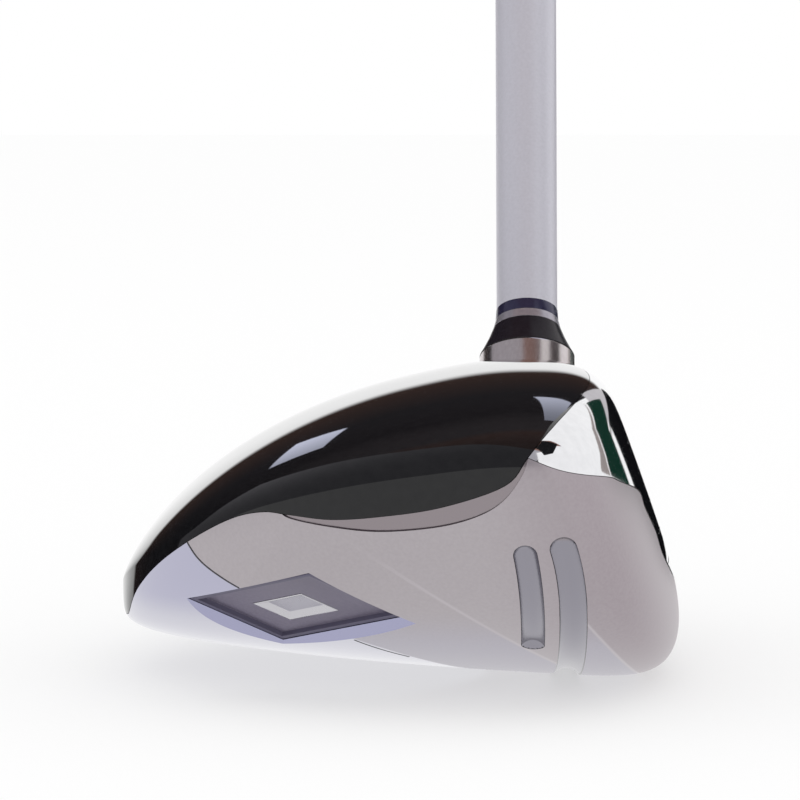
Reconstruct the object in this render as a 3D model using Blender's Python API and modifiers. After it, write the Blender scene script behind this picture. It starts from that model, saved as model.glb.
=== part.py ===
"""Hybrid golf club: hollow head, hosel, ferrule, tapered shaft and grip.

Metres, +Z up. +X points at the target, +Y from the toe to the heel.
The origin is the sole's point of rest, under the middle of the face.
"""

import math

import bmesh
import bpy
import numpy as np
from mathutils import Matrix, Vector

MM = 0.001

# Clearances between neighbouring pieces
SEAM_GAP = 0.3 * MM
SEAT_GAP = 0.3 * MM
BOND_GAP = 0.1 * MM

# How far the cutting sweeps run past the toe and the heel
SWEEP_MARGIN = 8.0 * MM

# Head, outer form
HEAD_WIDEST_X = -4.4 * MM
HEAD_FRONT_LENGTH = 12.0 * MM
HEAD_REAR_LENGTH = 57.4 * MM
CROWN_HEIGHT = 39.2 * MM
RIM_HEIGHT = 30.0 * MM
FACE_MIDDLE_HEIGHT = 18.2 * MM
TAIL_HEIGHT = 11.2 * MM
TOE_REACH = 51.0 * MM
HEEL_REACH = 55.0 * MM
SOLE_RISE = 0.062
REST_LAND_DEPTH = 0.2 * MM

# Face: loft, and the radii of its roll and bulge
FACE_LOFT = math.radians(18.4)
FACE_ROLL = 430.0 * MM
FACE_BULGE = 280.0 * MM
FACE_LEAN_FRONT = 10.0 * MM
FACE_LEAN_REAR = -26.0 * MM

# Fullness of the head's sections: 2 is an ellipse, more is squarer
FACE_EDGE_LENGTHWISE = 3.3
FACE_EDGE_TOP = 14.0
FACE_EDGE_SOLE = 2.5
FACE_EDGE_SIDE = 4.2
REAR_LENGTHWISE = 2.1
REAR_CROWN_FALL = 1.31
REAR_SOLE_FALL = 0.3
REAR_PLAN_FALL = 0.92
CROWN_FULLNESS = 2.5
HULL_FULLNESS = 2.15

# Head, walls
CROWN_WALL = 0.9 * MM
SKIRT_WALL = 2.0 * MM
SOLE_WALL = 2.2 * MM
FACE_WALL = 2.4 * MM
TAIL_WALL = 2.4 * MM

# Facets
HEAD_SEGMENTS = 56
HEAD_RINGS = 30
CAVITY_SEGMENTS = 36
CAVITY_RINGS = 20
TURNED_STEPS = 32

# Crown seam as seen from the toe, from the tail to the top line:
# shares of the rear length behind the widest station, and of the crown height
CROWN_SEAM = [
    (0.967, 0.184), (0.929, 0.293), (0.871, 0.403), (0.789, 0.505), (0.688, 0.584),
    (0.611, 0.612), (0.549, 0.607), (0.458, 0.599), (0.348, 0.615), (0.218, 0.648),
    (0.084, 0.717), (0.037, 0.801),
]
CROWN_SEAM_TOP = (-0.045, 0.969)
CROWN_SEAM_TAIL_EXIT = (1.073, 0.102)

# Face cup seam in millimetres, from the crown seam's corner down behind the face to the leading edge
FACE_SEAM = [
    (-2.9, 30.2), (-0.8, 29.0), (0.4, 26.5), (1.4, 22.5), (2.4, 18.0), (3.4, 12.0), (4.1, 7.0), (4.4, 3.0),
]
FACE_SEAM_EXIT = (4.6, -4.0)
FACE_SEAM_OVERLAP = 4.0 * MM
FACE_CUP_HEEL_END = 46.0 * MM

# Sole grooves, round-bottomed
GROOVE_DEPTH = 1.0 * MM
REAR_GROOVE_WIDTH = 2.8 * MM
REAR_GROOVE_TOE_X = -11.1 * MM
REAR_GROOVE_INNER_X = -9.9 * MM
REAR_GROOVE_TOE_ANGLE = math.radians(18.2)
REAR_GROOVE_INNER_ANGLE = math.radians(48)
FRONT_GROOVE_WIDTH = 3.0 * MM
FRONT_GROOVE_TOE_X = -6.8 * MM
FRONT_GROOVE_INNER_X = -5.2 * MM
FRONT_GROOVE_TOE_ANGLE = math.radians(16.5)
FRONT_GROOVE_HEEL_ANGLE = math.radians(146)

# Score lines on the face
SCORE_COUNT = 7
SCORE_PITCH = 3.8 * MM
SCORE_RADIUS = 0.45 * MM
SCORE_LENGTH = 44.0 * MM
SCORE_LOWEST = 8.0 * MM

# Step along the underside of the crown's edge, its lower border in the same shares as the seam
STEP_DEPTH = 0.5 * MM
STEP_BORDER = [
    (0.578, 0.628), (0.551, 0.597), (0.437, 0.574), (0.340, 0.569), (0.220, 0.589),
    (0.134, 0.628), (0.082, 0.679), (0.045, 0.755), (0.031, 0.827),
]

# Lozenge badge: a tray sunk into the rear of the sole, with a plain inlay in its floor
BADGE_FROM_TAIL = 22.7 * MM
BADGE_ANGLE = math.radians(39.8)
BADGE_SINK = 2.4 * MM
BADGE_TURN = math.radians(16.2)
BADGE_LONG = 28.2 * MM
BADGE_SHORT = 20.0 * MM
BADGE_LEAN = math.radians(27)
BADGE_FLOOR = 0.9 * MM
BADGE_RIM_WIDTH = 0.6 * MM
BADGE_RIM_HEIGHT = 0.7 * MM
BADGE_BOSS_MARGIN = 2.2 * MM
BADGE_BOSS_FLOOR = 1.2 * MM
RECESS_SLOPE = math.radians(45)
INLAY_SHARE = 0.4
INLAY_POCKET = 0.5 * MM
INLAY_THICKNESS = 0.3 * MM

# Internal weight, low at the rear
WEIGHT_FROM_TAIL = 11.8 * MM
WEIGHT_LENGTH = 16.0 * MM
WEIGHT_HALF_WIDTH = 13.0 * MM
WEIGHT_TOP = 8.0 * MM

# Shaft axis, leaning to the heel by its lie and a little towards the target, and lengths along it
# from where it meets the ground
LIE = math.radians(60)
SHAFT_LEAN = math.radians(0.72)
SHAFT_X = -8.4 * MM
SHAFT_INSIDE_HEEL = 26.0 * MM
CLUB_LENGTH = 1022.0 * MM
HOSEL_FOOT = 20.0 * MM
HOSEL_FLOOR = 3.0 * MM
HOSEL_BELOW_CROWN = 2.5 * MM
HOSEL_RADIUS = 6.75 * MM

# Shaft
TIP_RADIUS = 4.25 * MM
BUTT_RADIUS = 7.6 * MM
TIP_WALL = 2.0 * MM
BUTT_WALL = 1.2 * MM
SHAFT_STATIONS = 8

# Swing-weight plug and cork in the shaft's tip
PLUG_HEAD = 1.2 * MM
PLUG_STEM = 18.0 * MM
CORK_LENGTH = 8.0 * MM

# Ferrule bands, from the hosel up
FERRULE_BASE_HEIGHT = 4.2 * MM
FERRULE_RING_HEIGHT = 1.2 * MM
FERRULE_TOP_HEIGHT = 1.7 * MM
FERRULE_RING_RADIUS = 4.95 * MM
FERRULE_SHOULDER_RADIUS = 4.6 * MM
FERRULE_FLARE = 0.35 * MM

# Grip
GRIP_LENGTH = 266.0 * MM
GRIP_MOUTH_RADIUS = 9.9 * MM
GRIP_BUTT_RADIUS = 13.3 * MM
GRIP_MOUTH_ROUND = 1.2 * MM
GRIP_STATIONS = 9
TAPE_THICKNESS = 0.4 * MM
TAPE_SHORT_OF_MOUTH = 4.0 * MM
CAP_THICKNESS = 5.0 * MM
CAP_LIP_RADIUS = 14.0 * MM
CAP_ROUND = 1.5 * MM
CAP_SPIGOT = 5.0 * MM
VENT_RADIUS = 1.2 * MM

# Colour, metallic and roughness of each finish
FINISHES = {
    "satin_steel": ((0.42, 0.38, 0.40), 1.0, 0.35),
    "gloss_black": ((0.01, 0.01, 0.012), 0.0, 0.05),
    "polished_steel": ((0.75, 0.75, 0.77), 1.0, 0.06),
    "badge_grey": ((0.13, 0.13, 0.16), 0.9, 0.3),
    "badge_light": ((0.6, 0.6, 0.62), 1.0, 0.3),
    "tungsten": ((0.3, 0.3, 0.31), 1.0, 0.5),
    "ferrule_black": ((0.01, 0.01, 0.015), 0.0, 0.15),
    "ferrule_navy": ((0.02, 0.025, 0.08), 0.0, 0.12),
    "ferrule_silver": ((0.6, 0.6, 0.66), 1.0, 0.2),
    "pearl_graphite": ((0.5, 0.48, 0.52), 0.3, 0.3),
    "brass": ((0.7, 0.5, 0.2), 1.0, 0.3),
    "cork": ((0.5, 0.33, 0.18), 0.0, 0.9),
    "tape": ((0.75, 0.68, 0.5), 0.0, 0.8),
    "grip_rubber": ((0.02, 0.02, 0.022), 0.0, 0.75),
}


def clear_scene():
    """Remove whatever the file opened with."""
    for obj in list(bpy.data.objects):
        bpy.data.objects.remove(obj, do_unlink=True)


def make_collection(name):
    """A new collection under the scene's own."""
    collection = bpy.data.collections.new(name)
    bpy.context.scene.collection.children.link(collection)
    return collection


def make_materials():
    """One Principled material for each finish."""
    made = {}
    for name, (colour, metallic, roughness) in FINISHES.items():
        material = bpy.data.materials.new(name)
        material.use_nodes = True
        shader = material.node_tree.nodes["Principled BSDF"]
        shader.inputs["Base Color"].default_value = (*colour, 1.0)
        shader.inputs["Metallic"].default_value = metallic
        shader.inputs["Roughness"].default_value = roughness
        made[name] = material
    return made


clear_scene()
CLUB = make_collection("hybrid_golf_club")
CUTTERS = make_collection("cutters")
MATERIALS = make_materials()


def add_part(name, mesh, finish):
    """A named part of the club with its own finish."""
    mesh.materials.clear()
    mesh.materials.append(MATERIALS[finish])
    mesh.shade_smooth()
    mesh.set_sharp_from_angle(angle=math.radians(35))
    part = bpy.data.objects.new(name, mesh)
    CLUB.objects.link(part)
    return part


def add_cutter(name, mesh):
    """A helper solid that only cuts or trims others."""
    cutter = bpy.data.objects.new(name, mesh)
    CUTTERS.objects.link(cutter)
    cutter.hide_render = True
    cutter.display_type = "WIRE"
    return cutter


def boolean(part, cutter, operation):
    """Cut, trim or join a part with a helper solid."""
    modifier = part.modifiers.new(f"{operation.lower()}_{cutter.name}", "BOOLEAN")
    modifier.operation = operation
    modifier.object = cutter
    modifier.solver = "EXACT"


class HeadForm:
    """A closed head-shaped surface, set in from the outer form by the walls it is given."""

    def __init__(self, crown=0.0, skirt=0.0, sole=0.0, face=0.0, tail=0.0):
        self.crown_height = CROWN_HEIGHT - crown
        self.rim_height = RIM_HEIGHT
        self.toe = TOE_REACH - skirt
        self.heel = HEEL_REACH - skirt
        self.sole_height = sole
        self.front_length = HEAD_FRONT_LENGTH - face
        self.rear_length = HEAD_REAR_LENGTH - tail

    def point(self, lengthwise, around):
        """Points at angles from the face (0) to the tail (pi), and round from heel over crown to toe."""
        lengthwise, around = np.broadcast_arrays(lengthwise, around)
        ahead = np.cos(lengthwise)
        span = np.abs(np.sin(lengthwise))
        front = ahead > 0
        reach = np.abs(ahead)
        straight_x = np.where(
            front,
            HEAD_WIDEST_X + self.front_length * reach ** (2 / FACE_EDGE_LENGTHWISE),
            HEAD_WIDEST_X - self.rear_length * reach ** (2 / REAR_LENGTHWISE),
        )
        rise = np.where(front, span ** (2 / FACE_EDGE_TOP), span ** REAR_CROWN_FALL)
        drop = np.where(front, span ** (2 / FACE_EDGE_SOLE), span ** REAR_SOLE_FALL)
        width = np.where(front, span ** (2 / FACE_EDGE_SIDE), span ** REAR_PLAN_FALL)
        end = np.where(front, FACE_MIDDLE_HEIGHT, TAIL_HEIGHT)
        tilt = np.where(front, 0.0, SOLE_RISE * (HEAD_WIDEST_X - straight_x) * drop)
        crown = end + (self.crown_height - end) * rise
        rim = end + (self.rim_height - end) * rise
        sole = end - (end - self.sole_height) * drop + tilt
        across = np.cos(around)
        upward = np.sin(around)
        half_width = np.where(across < 0, self.toe, self.heel) * width
        fullness = np.where(upward > 0, CROWN_FULLNESS, HULL_FULLNESS)
        y = np.sign(across) * half_width * np.abs(across) ** (2 / fullness)
        height = np.abs(upward) ** (2 / fullness)
        z = np.where(upward > 0, rim + (crown - rim) * height, rim - (rim - sole) * height)
        x = straight_x + lean_weight(straight_x) * (face_x(y, z) - FACE_LEAN_FRONT)
        return np.stack([x, y, z - REST_LAND_DEPTH], axis=-1)

    def normal(self, lengthwise, around):
        """Outward unit normals at the same angles."""
        step = 1e-4
        along = self.point(lengthwise + step, around) - self.point(lengthwise - step, around)
        about = self.point(lengthwise, around + step) - self.point(lengthwise, around - step)
        normal = np.cross(along, about)
        return normal / np.linalg.norm(normal, axis=-1, keepdims=True)

    def lengthwise_at(self, x, around):
        """The lengthwise angle at which the surface passes x, by bisection."""
        low = np.full(np.shape(around), 0.02)
        high = np.full(np.shape(around), math.pi - 0.02)
        for _ in range(40):
            middle = (low + high) / 2
            ahead = self.point(middle, around)[..., 0] > x
            low = np.where(ahead, middle, low)
            high = np.where(ahead, high, middle)
        return (low + high) / 2

    def mesh(self, name, segments, rings):
        """The form as a closed mesh: a sphere whose points are moved onto it."""
        bm = bmesh.new()
        bmesh.ops.create_uvsphere(bm, u_segments=segments, v_segments=rings, radius=1.0)
        ball = np.array([vert.co for vert in bm.verts])
        lengthwise = np.arccos(np.clip(ball[:, 2], -1, 1))
        around = np.arctan2(ball[:, 1], ball[:, 0])
        for vert, place in zip(bm.verts, self.point(lengthwise, around)):
            vert.co = place
        mesh = bpy.data.meshes.new(name)
        bm.to_mesh(mesh)
        bm.free()
        return mesh


def face_x(y, z):
    """How far forward the lofted face stands, with its roll and bulge."""
    above = z - FACE_MIDDLE_HEIGHT
    lean = above * math.tan(FACE_LOFT) + above ** 2 / (2 * FACE_ROLL)
    return FACE_LEAN_FRONT - lean - y ** 2 / (2 * FACE_BULGE)


def lean_weight(x):
    """How much of the face's lean the sections take on: none at the rear, all at the front."""
    share = np.clip((x - FACE_LEAN_REAR) / (FACE_LEAN_FRONT - FACE_LEAN_REAR), 0, 1)
    return share ** 2 * (3 - 2 * share)


TAIL_X = HEAD_WIDEST_X - HEAD_REAR_LENGTH
OUTER = HeadForm()
INNER = HeadForm(CROWN_WALL, SKIRT_WALL, SOLE_WALL, FACE_WALL, TAIL_WALL)


def smooth_line(points, steps=3):
    """A smooth line through hand-set points, as a list of finer points."""
    points = [Vector(p) for p in points]
    ends = [points[0] * 2 - points[1]] + points + [points[-1] * 2 - points[-2]]
    line = []
    for before, start, finish, after in zip(ends, ends[1:], ends[2:], ends[3:]):
        for step in range(steps):
            t = step / steps
            pull = (finish - before) * t + (before * 2 - start * 5 + finish * 4 - after) * t ** 2
            swing = (start * 3 - before - finish * 3 + after) * t ** 3
            line.append(start + (pull + swing) / 2)
    line.append(points[-1])
    return line


def shifted(line, distance):
    """A flat line moved sideways to its left by a distance."""
    moved = []
    for index, point in enumerate(line):
        ahead = line[min(index + 1, len(line) - 1)] - line[max(index - 1, 0)]
        side = Vector((-ahead.y, ahead.x)).normalized()
        moved.append(point + side * distance)
    return moved


def swept_along_bulge(name, outline, heel_end, steps=14):
    """A prism of a toe-view outline, swept from beyond the toe to a heel end along the face's bulge."""
    toe_end = -TOE_REACH - SWEEP_MARGIN
    bm = bmesh.new()
    rings = []
    for step in range(steps + 1):
        y = toe_end + (heel_end - toe_end) * step / steps
        back = y ** 2 / (2 * FACE_BULGE)
        rings.append([bm.verts.new((p.x - back, y, p.y)) for p in outline])
    for near, far in zip(rings, rings[1:]):
        for index in range(len(outline)):
            following = (index + 1) % len(outline)
            bm.faces.new((near[index], near[following], far[following], far[index]))
    bm.faces.new(rings[0])
    bm.faces.new(list(reversed(rings[-1])))
    bmesh.ops.recalc_face_normals(bm, faces=bm.faces)
    mesh = bpy.data.meshes.new(name)
    bm.to_mesh(mesh)
    bm.free()
    return add_cutter(name, mesh)


def in_toe_view(shares):
    """A toe-view point written in shares of the head's rear length and crown height."""
    behind, height = shares
    return Vector((HEAD_WIDEST_X - HEAD_REAR_LENGTH * behind, CROWN_HEIGHT * height))


def crown_seam():
    """The crown seam as a smooth toe-view line, from the tail to the face cup's corner."""
    return smooth_line([in_toe_view(shares) for shares in CROWN_SEAM])


def crown_region(name, shift):
    """Everything above the crown seam, moved by a shift across the seam."""
    seam = crown_seam()
    top = in_toe_view(CROWN_SEAM_TOP)
    above = top + (top - seam[-1])
    ceiling = CROWN_HEIGHT * 1.6
    line = shifted([in_toe_view(CROWN_SEAM_TAIL_EXIT)] + seam + [above], shift)
    outline = line + [Vector((line[-1].x, ceiling)), Vector((line[0].x, ceiling))]
    return swept_along_bulge(name, outline, HEEL_REACH + SWEEP_MARGIN)


def face_region(name, shift):
    """Everything ahead of the face cup seam, moved by a shift across the seam."""
    corner = in_toe_view(CROWN_SEAM[-1])
    seam = smooth_line([corner] + [Vector(pair) * MM for pair in FACE_SEAM])
    inward = corner + (corner - seam[1]).normalized() * FACE_SEAM_OVERLAP
    line = [inward] + seam + [Vector(FACE_SEAM_EXIT) * MM]
    line = shifted(line, shift)
    ahead = HEAD_FRONT_LENGTH * 2.5
    ceiling = CROWN_HEIGHT * 1.6
    outline = line + [Vector((ahead, line[-1].y)), Vector((ahead, ceiling)), Vector((line[0].x, ceiling))]
    return swept_along_bulge(name, outline, FACE_CUP_HEEL_END - shift)


def step_cutter():
    """The sliver of the body's skin between the crown seam and the step's border."""
    border = smooth_line([in_toe_view(shares) for shares in STEP_BORDER])
    seam = [point for point in crown_seam() if border[0].x < point.x < border[-1].x]
    outline = border + shifted(list(reversed(seam)), -SEAM_GAP)
    sliver = swept_along_bulge("step_sliver", outline, 0.0)
    floor = HeadForm(STEP_DEPTH, STEP_DEPTH, STEP_DEPTH, STEP_DEPTH, STEP_DEPTH)
    boolean(sliver, add_cutter("step_floor", floor.mesh("step_floor", HEAD_SEGMENTS, HEAD_RINGS)), "DIFFERENCE")
    return sliver


def tube_cutter(name, path, radius, sides=3):
    """A round-ended tube along a path, as a closed mesh."""
    curve = bpy.data.curves.new(name, "CURVE")
    curve.dimensions = "3D"
    curve.bevel_depth = radius
    curve.bevel_resolution = sides
    curve.use_fill_caps = True
    spline = curve.splines.new("POLY")
    spline.points.add(len(path) - 1)
    for point, place in zip(spline.points, path):
        point.co = (*place, 1.0)
    spline.points[0].radius = 0.5
    spline.points[-1].radius = 0.5
    guide = bpy.data.objects.new(name, curve)
    bpy.context.scene.collection.objects.link(guide)
    bpy.context.view_layer.update()
    evaluated = guide.evaluated_get(bpy.context.evaluated_depsgraph_get())
    mesh = bpy.data.meshes.new_from_object(evaluated)
    bpy.data.objects.remove(guide, do_unlink=True)
    bpy.data.curves.remove(curve)
    bm = bmesh.new()
    bm.from_mesh(mesh)
    bmesh.ops.remove_doubles(bm, verts=bm.verts, dist=1e-6)
    bmesh.ops.recalc_face_normals(bm, faces=bm.faces)
    bm.to_mesh(mesh)
    bm.free()
    return add_cutter(name, mesh)


def groove_cutter(name, width, toe_x, inner_x, first_angle, last_angle, count):
    """A tube that follows the sole from the toe and cuts a round-bottomed groove."""
    half = width / 2
    radius = (half ** 2 + GROOVE_DEPTH ** 2) / (2 * GROOVE_DEPTH)
    angle = np.linspace(first_angle, last_angle, count)
    ease = np.sin(np.linspace(0, math.pi / 2, count))
    x = toe_x + (inner_x - toe_x) * ease
    around = math.pi + angle
    lengthwise = OUTER.lengthwise_at(x, around)
    surface = OUTER.point(lengthwise, around)
    path = surface + OUTER.normal(lengthwise, around) * (radius - GROOVE_DEPTH)
    return tube_cutter(name, path, radius)


def score_cutter(index):
    """One score line's cutter, level across the face."""
    height = SCORE_LOWEST + SCORE_PITCH * index
    y = np.linspace(-SCORE_LENGTH / 2, SCORE_LENGTH / 2, 9)
    path = []
    for side in y:
        path.append((front_x(side, height), side, height))
    return tube_cutter(f"score_{index + 1}", path, SCORE_RADIUS, sides=1)


def front_x(y, z):
    """The outer form's front at a point of the face, by stepping towards it."""
    lengthwise = np.linspace(0.0, 1.2, 160)[:, None]
    around = np.linspace(-math.pi, math.pi, 181)[None, :]
    grid = OUTER.point(lengthwise, around).reshape(-1, 3)
    nearest = np.argsort((grid[:, 1] - y) ** 2 + (grid[:, 2] - z) ** 2)[:6]
    return float(np.mean(grid[nearest, 0]))


def box_between(name, low, high):
    """A box cutter between two corners."""
    bm = bmesh.new()
    bmesh.ops.create_cube(bm, size=1.0)
    low = Vector(low)
    high = Vector(high)
    for vert in bm.verts:
        vert.co = [low[i] + (vert.co[i] + 0.5) * (high[i] - low[i]) for i in range(3)]
    mesh = bpy.data.meshes.new(name)
    bm.to_mesh(mesh)
    bm.free()
    return add_cutter(name, mesh)


def badge_frame():
    """The badge's own frame: the tray's floor, its long axis and the sole's normal over it."""
    around = np.array(math.pi + BADGE_ANGLE)
    lengthwise = OUTER.lengthwise_at(TAIL_X + BADGE_FROM_TAIL, around)
    outward = Vector(OUTER.normal(lengthwise, around))
    ahead = Vector((1.0, 0.0, 0.0))
    ahead = (ahead - outward * ahead.dot(outward)).normalized()
    long_axis = Matrix.Rotation(BADGE_TURN, 3, outward) @ ahead
    matrix = Matrix((long_axis, outward.cross(long_axis), outward)).transposed().to_4x4()
    matrix.translation = Vector(OUTER.point(lengthwise, around)) - outward * BADGE_SINK
    return matrix


def lozenge_mesh(name, margin, bottom, top, share=1.0, flare=0.0):
    """A lozenge in the badge's frame, grown by a margin, from one depth to another, its top flared."""
    tip = Vector((BADGE_LONG / 2 * share, 0.0))
    peak = Vector((math.sin(BADGE_LEAN), math.cos(BADGE_LEAN))) * BADGE_SHORT / 2 * share
    corners = [tip, peak, -tip, -peak]
    bm = bmesh.new()
    low = []
    high = []
    for index in range(4):
        low.append(bm.verts.new((*offset_corner(corners, index, margin), bottom)))
        high.append(bm.verts.new((*offset_corner(corners, index, margin + flare), top)))
    bm.faces.new(low)
    bm.faces.new(high)
    for index in range(4):
        bm.faces.new((low[index - 1], low[index], high[index], high[index - 1]))
    bmesh.ops.recalc_face_normals(bm, faces=bm.faces)
    mesh = bpy.data.meshes.new(name)
    bm.to_mesh(mesh)
    bm.free()
    mesh.transform(badge_frame())
    return mesh


def offset_corner(corners, index, margin):
    """A corner of a convex outline, moved out so that both its sides move by a margin."""
    here = corners[index]
    into = (here - corners[index - 1]).normalized()
    out = (corners[(index + 1) % len(corners)] - here).normalized()
    normal_in = Vector((into.y, -into.x))
    normal_out = Vector((out.y, -out.x))
    bisector = (normal_in + normal_out).normalized()
    return here + bisector * (margin / bisector.dot(normal_in))


def turned_mesh(name, profile, closed):
    """The points of a profile in the XZ plane, joined in a line or a ring."""
    edges = [(index, index + 1) for index in range(len(profile) - 1)]
    if closed:
        edges.append((len(profile) - 1, 0))
    mesh = bpy.data.meshes.new(name)
    mesh.from_pydata([(radius, 0.0, height) for radius, height in profile], edges, [])
    return mesh


def spin(piece):
    """Turn a profile round the shaft's axis."""
    screw = piece.modifiers.new("turn", "SCREW")
    screw.axis = "Z"
    screw.angle = 2 * math.pi
    screw.steps = TURNED_STEPS
    screw.render_steps = TURNED_STEPS
    screw.use_merge_vertices = True
    screw.merge_threshold = 0.00001
    screw.use_smooth_shade = True


def turned_part(name, profile, finish, closed=True):
    """A turned part on the shaft's axis; its profile runs down its outer side."""
    part = add_part(name, turned_mesh(name, profile, closed), finish)
    part.parent = SHAFT_AXIS
    spin(part)
    return part


def make_shaft_axis():
    """An empty whose +Z is the shaft's axis, where the axis meets the ground."""
    axis = bpy.data.objects.new("shaft_axis", None)
    CLUB.objects.link(axis)
    axis.location = (SHAFT_X, HEEL_REACH - SHAFT_INSIDE_HEEL, 0.0)
    axis.rotation_euler = (LIE - math.pi / 2, SHAFT_LEAN, 0.0)
    return axis


SHAFT_AXIS = make_shaft_axis()

# Stations along the shaft's axis
HOSEL_TOP = CROWN_HEIGHT / math.sin(LIE) - HOSEL_BELOW_CROWN
SHAFT_TIP = HOSEL_FOOT + HOSEL_FLOOR + PLUG_HEAD + 2 * SEAT_GAP
SHAFT_BUTT = CLUB_LENGTH - CAP_THICKNESS - CAP_SPIGOT - SEAT_GAP
GRIP_MOUTH = CLUB_LENGTH - GRIP_LENGTH
GRIP_END = CLUB_LENGTH - CAP_THICKNESS - BOND_GAP
FERRULE_FOOT = HOSEL_TOP + SEAT_GAP
RING_FOOT = FERRULE_FOOT + FERRULE_BASE_HEIGHT + BOND_GAP
TOP_FOOT = RING_FOOT + FERRULE_RING_HEIGHT + BOND_GAP


def shaft_radius(height):
    """The shaft's outer radius at a station."""
    share = (height - SHAFT_TIP) / (SHAFT_BUTT - SHAFT_TIP)
    return TIP_RADIUS + (BUTT_RADIUS - TIP_RADIUS) * share


def shaft_bore(height):
    """The shaft's inner radius at a station."""
    share = (height - SHAFT_TIP) / (SHAFT_BUTT - SHAFT_TIP)
    return shaft_radius(height) - TIP_WALL - (BUTT_WALL - TIP_WALL) * share


def grip_radius(height):
    """The grip's outer radius at a station, fuller towards the butt."""
    share = (height - GRIP_MOUTH) / (GRIP_END - GRIP_MOUTH)
    return GRIP_MOUTH_RADIUS + (GRIP_BUTT_RADIUS - GRIP_MOUTH_RADIUS) * share ** 1.25


def make_head():
    """The body shell, crown plate and face cup, cut from one hollow form."""
    form = OUTER.mesh("head_form", HEAD_SEGMENTS, HEAD_RINGS)
    cavity = add_cutter("head_cavity", INNER.mesh("head_cavity", CAVITY_SEGMENTS, CAVITY_RINGS))
    crown_area = crown_region("crown_area", SEAM_GAP / 2)
    crown_clear = crown_region("crown_clear", -SEAM_GAP / 2)
    face_area = face_region("face_area", SEAM_GAP / 2)
    face_clear = face_region("face_clear", -SEAM_GAP / 2)
    neck = hosel_clearance()
    far = HEAD_REAR_LENGTH * 2
    ground = box_between("ground", (-far, -far, -far), (far, far, 0.0))

    body = add_part("body_shell", form, "satin_steel")
    boolean(body, cavity, "DIFFERENCE")
    boolean(body, badge_boss(), "UNION")
    for cutter in (crown_clear, face_clear, neck, ground, step_cutter()):
        boolean(body, cutter, "DIFFERENCE")
    for cutter in (badge_recess(), badge_slope(), rear_groove(), front_groove()):
        boolean(body, cutter, "DIFFERENCE")

    crown = add_part("crown_plate", form.copy(), "gloss_black")
    boolean(crown, cavity, "DIFFERENCE")
    boolean(crown, crown_area, "INTERSECT")
    boolean(crown, neck, "DIFFERENCE")

    cup = add_part("face_cup", form.copy(), "polished_steel")
    boolean(cup, cavity, "DIFFERENCE")
    boolean(cup, face_area, "INTERSECT")
    for cutter in (crown_clear, neck, ground):
        boolean(cup, cutter, "DIFFERENCE")
    for index in range(SCORE_COUNT):
        boolean(cup, score_cutter(index), "DIFFERENCE")


def hosel_clearance():
    """The room that the head's shells leave round the hosel."""
    reach = HOSEL_RADIUS + SEAT_GAP
    top = HOSEL_TOP * 1.6
    foot = HOSEL_FOOT - SEAT_GAP
    profile = [(0, top), (reach, top), (reach, foot), (0, foot)]
    cutter = add_cutter("hosel_room", turned_mesh("hosel_room", profile, False))
    cutter.parent = SHAFT_AXIS
    spin(cutter)
    return cutter


def badge_boss():
    """A pad inside the sole that carries the badge's recess."""
    floor = -BADGE_FLOOR - SEAT_GAP - BADGE_BOSS_FLOOR
    return add_cutter("badge_boss", lozenge_mesh("badge_boss", BADGE_BOSS_MARGIN, floor, 0.0))


def badge_recess():
    """The straight-sided recess that the badge lies in."""
    floor = -BADGE_FLOOR - SEAT_GAP
    return add_cutter("badge_recess", lozenge_mesh("badge_recess", SEAT_GAP, floor, BADGE_SHORT))


def badge_slope():
    """The sloping sides of the recess above the badge's rim."""
    rise = BADGE_SHORT / 2
    flare = rise * math.tan(RECESS_SLOPE)
    top = BADGE_RIM_HEIGHT + rise
    slope = lozenge_mesh("badge_slope", SEAT_GAP, BADGE_RIM_HEIGHT, top, flare=flare)
    return add_cutter("badge_slope", slope)


def rear_groove():
    """The short groove at the toe end of the sole."""
    return groove_cutter(
        "rear_groove", REAR_GROOVE_WIDTH, REAR_GROOVE_TOE_X, REAR_GROOVE_INNER_X,
        REAR_GROOVE_TOE_ANGLE, REAR_GROOVE_INNER_ANGLE, 9,
    )


def front_groove():
    """The long groove behind the leading edge, from toe to heel."""
    return groove_cutter(
        "front_groove", FRONT_GROOVE_WIDTH, FRONT_GROOVE_TOE_X, FRONT_GROOVE_INNER_X,
        FRONT_GROOVE_TOE_ANGLE, FRONT_GROOVE_HEEL_ANGLE, 23,
    )


def make_badge():
    """The lozenge tray in the sole and the plain inlay in its floor."""
    tray = lozenge_mesh("sole_badge", 0.0, -BADGE_FLOOR, BADGE_RIM_HEIGHT)
    badge = add_part("sole_badge", tray, "badge_grey")
    hollow = lozenge_mesh("badge_hollow", -BADGE_RIM_WIDTH, 0.0, BADGE_RIM_HEIGHT * 2)
    boolean(badge, add_cutter("badge_hollow", hollow), "DIFFERENCE")
    pocket = lozenge_mesh("inlay_pocket", BOND_GAP, -INLAY_POCKET, BADGE_RIM_HEIGHT, INLAY_SHARE)
    boolean(badge, add_cutter("inlay_pocket", pocket), "DIFFERENCE")
    foot = BOND_GAP - INLAY_POCKET
    inlay = lozenge_mesh("badge_inlay", 0.0, foot, foot + INLAY_THICKNESS, INLAY_SHARE)
    add_part("badge_inlay", inlay, "badge_light")


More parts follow.
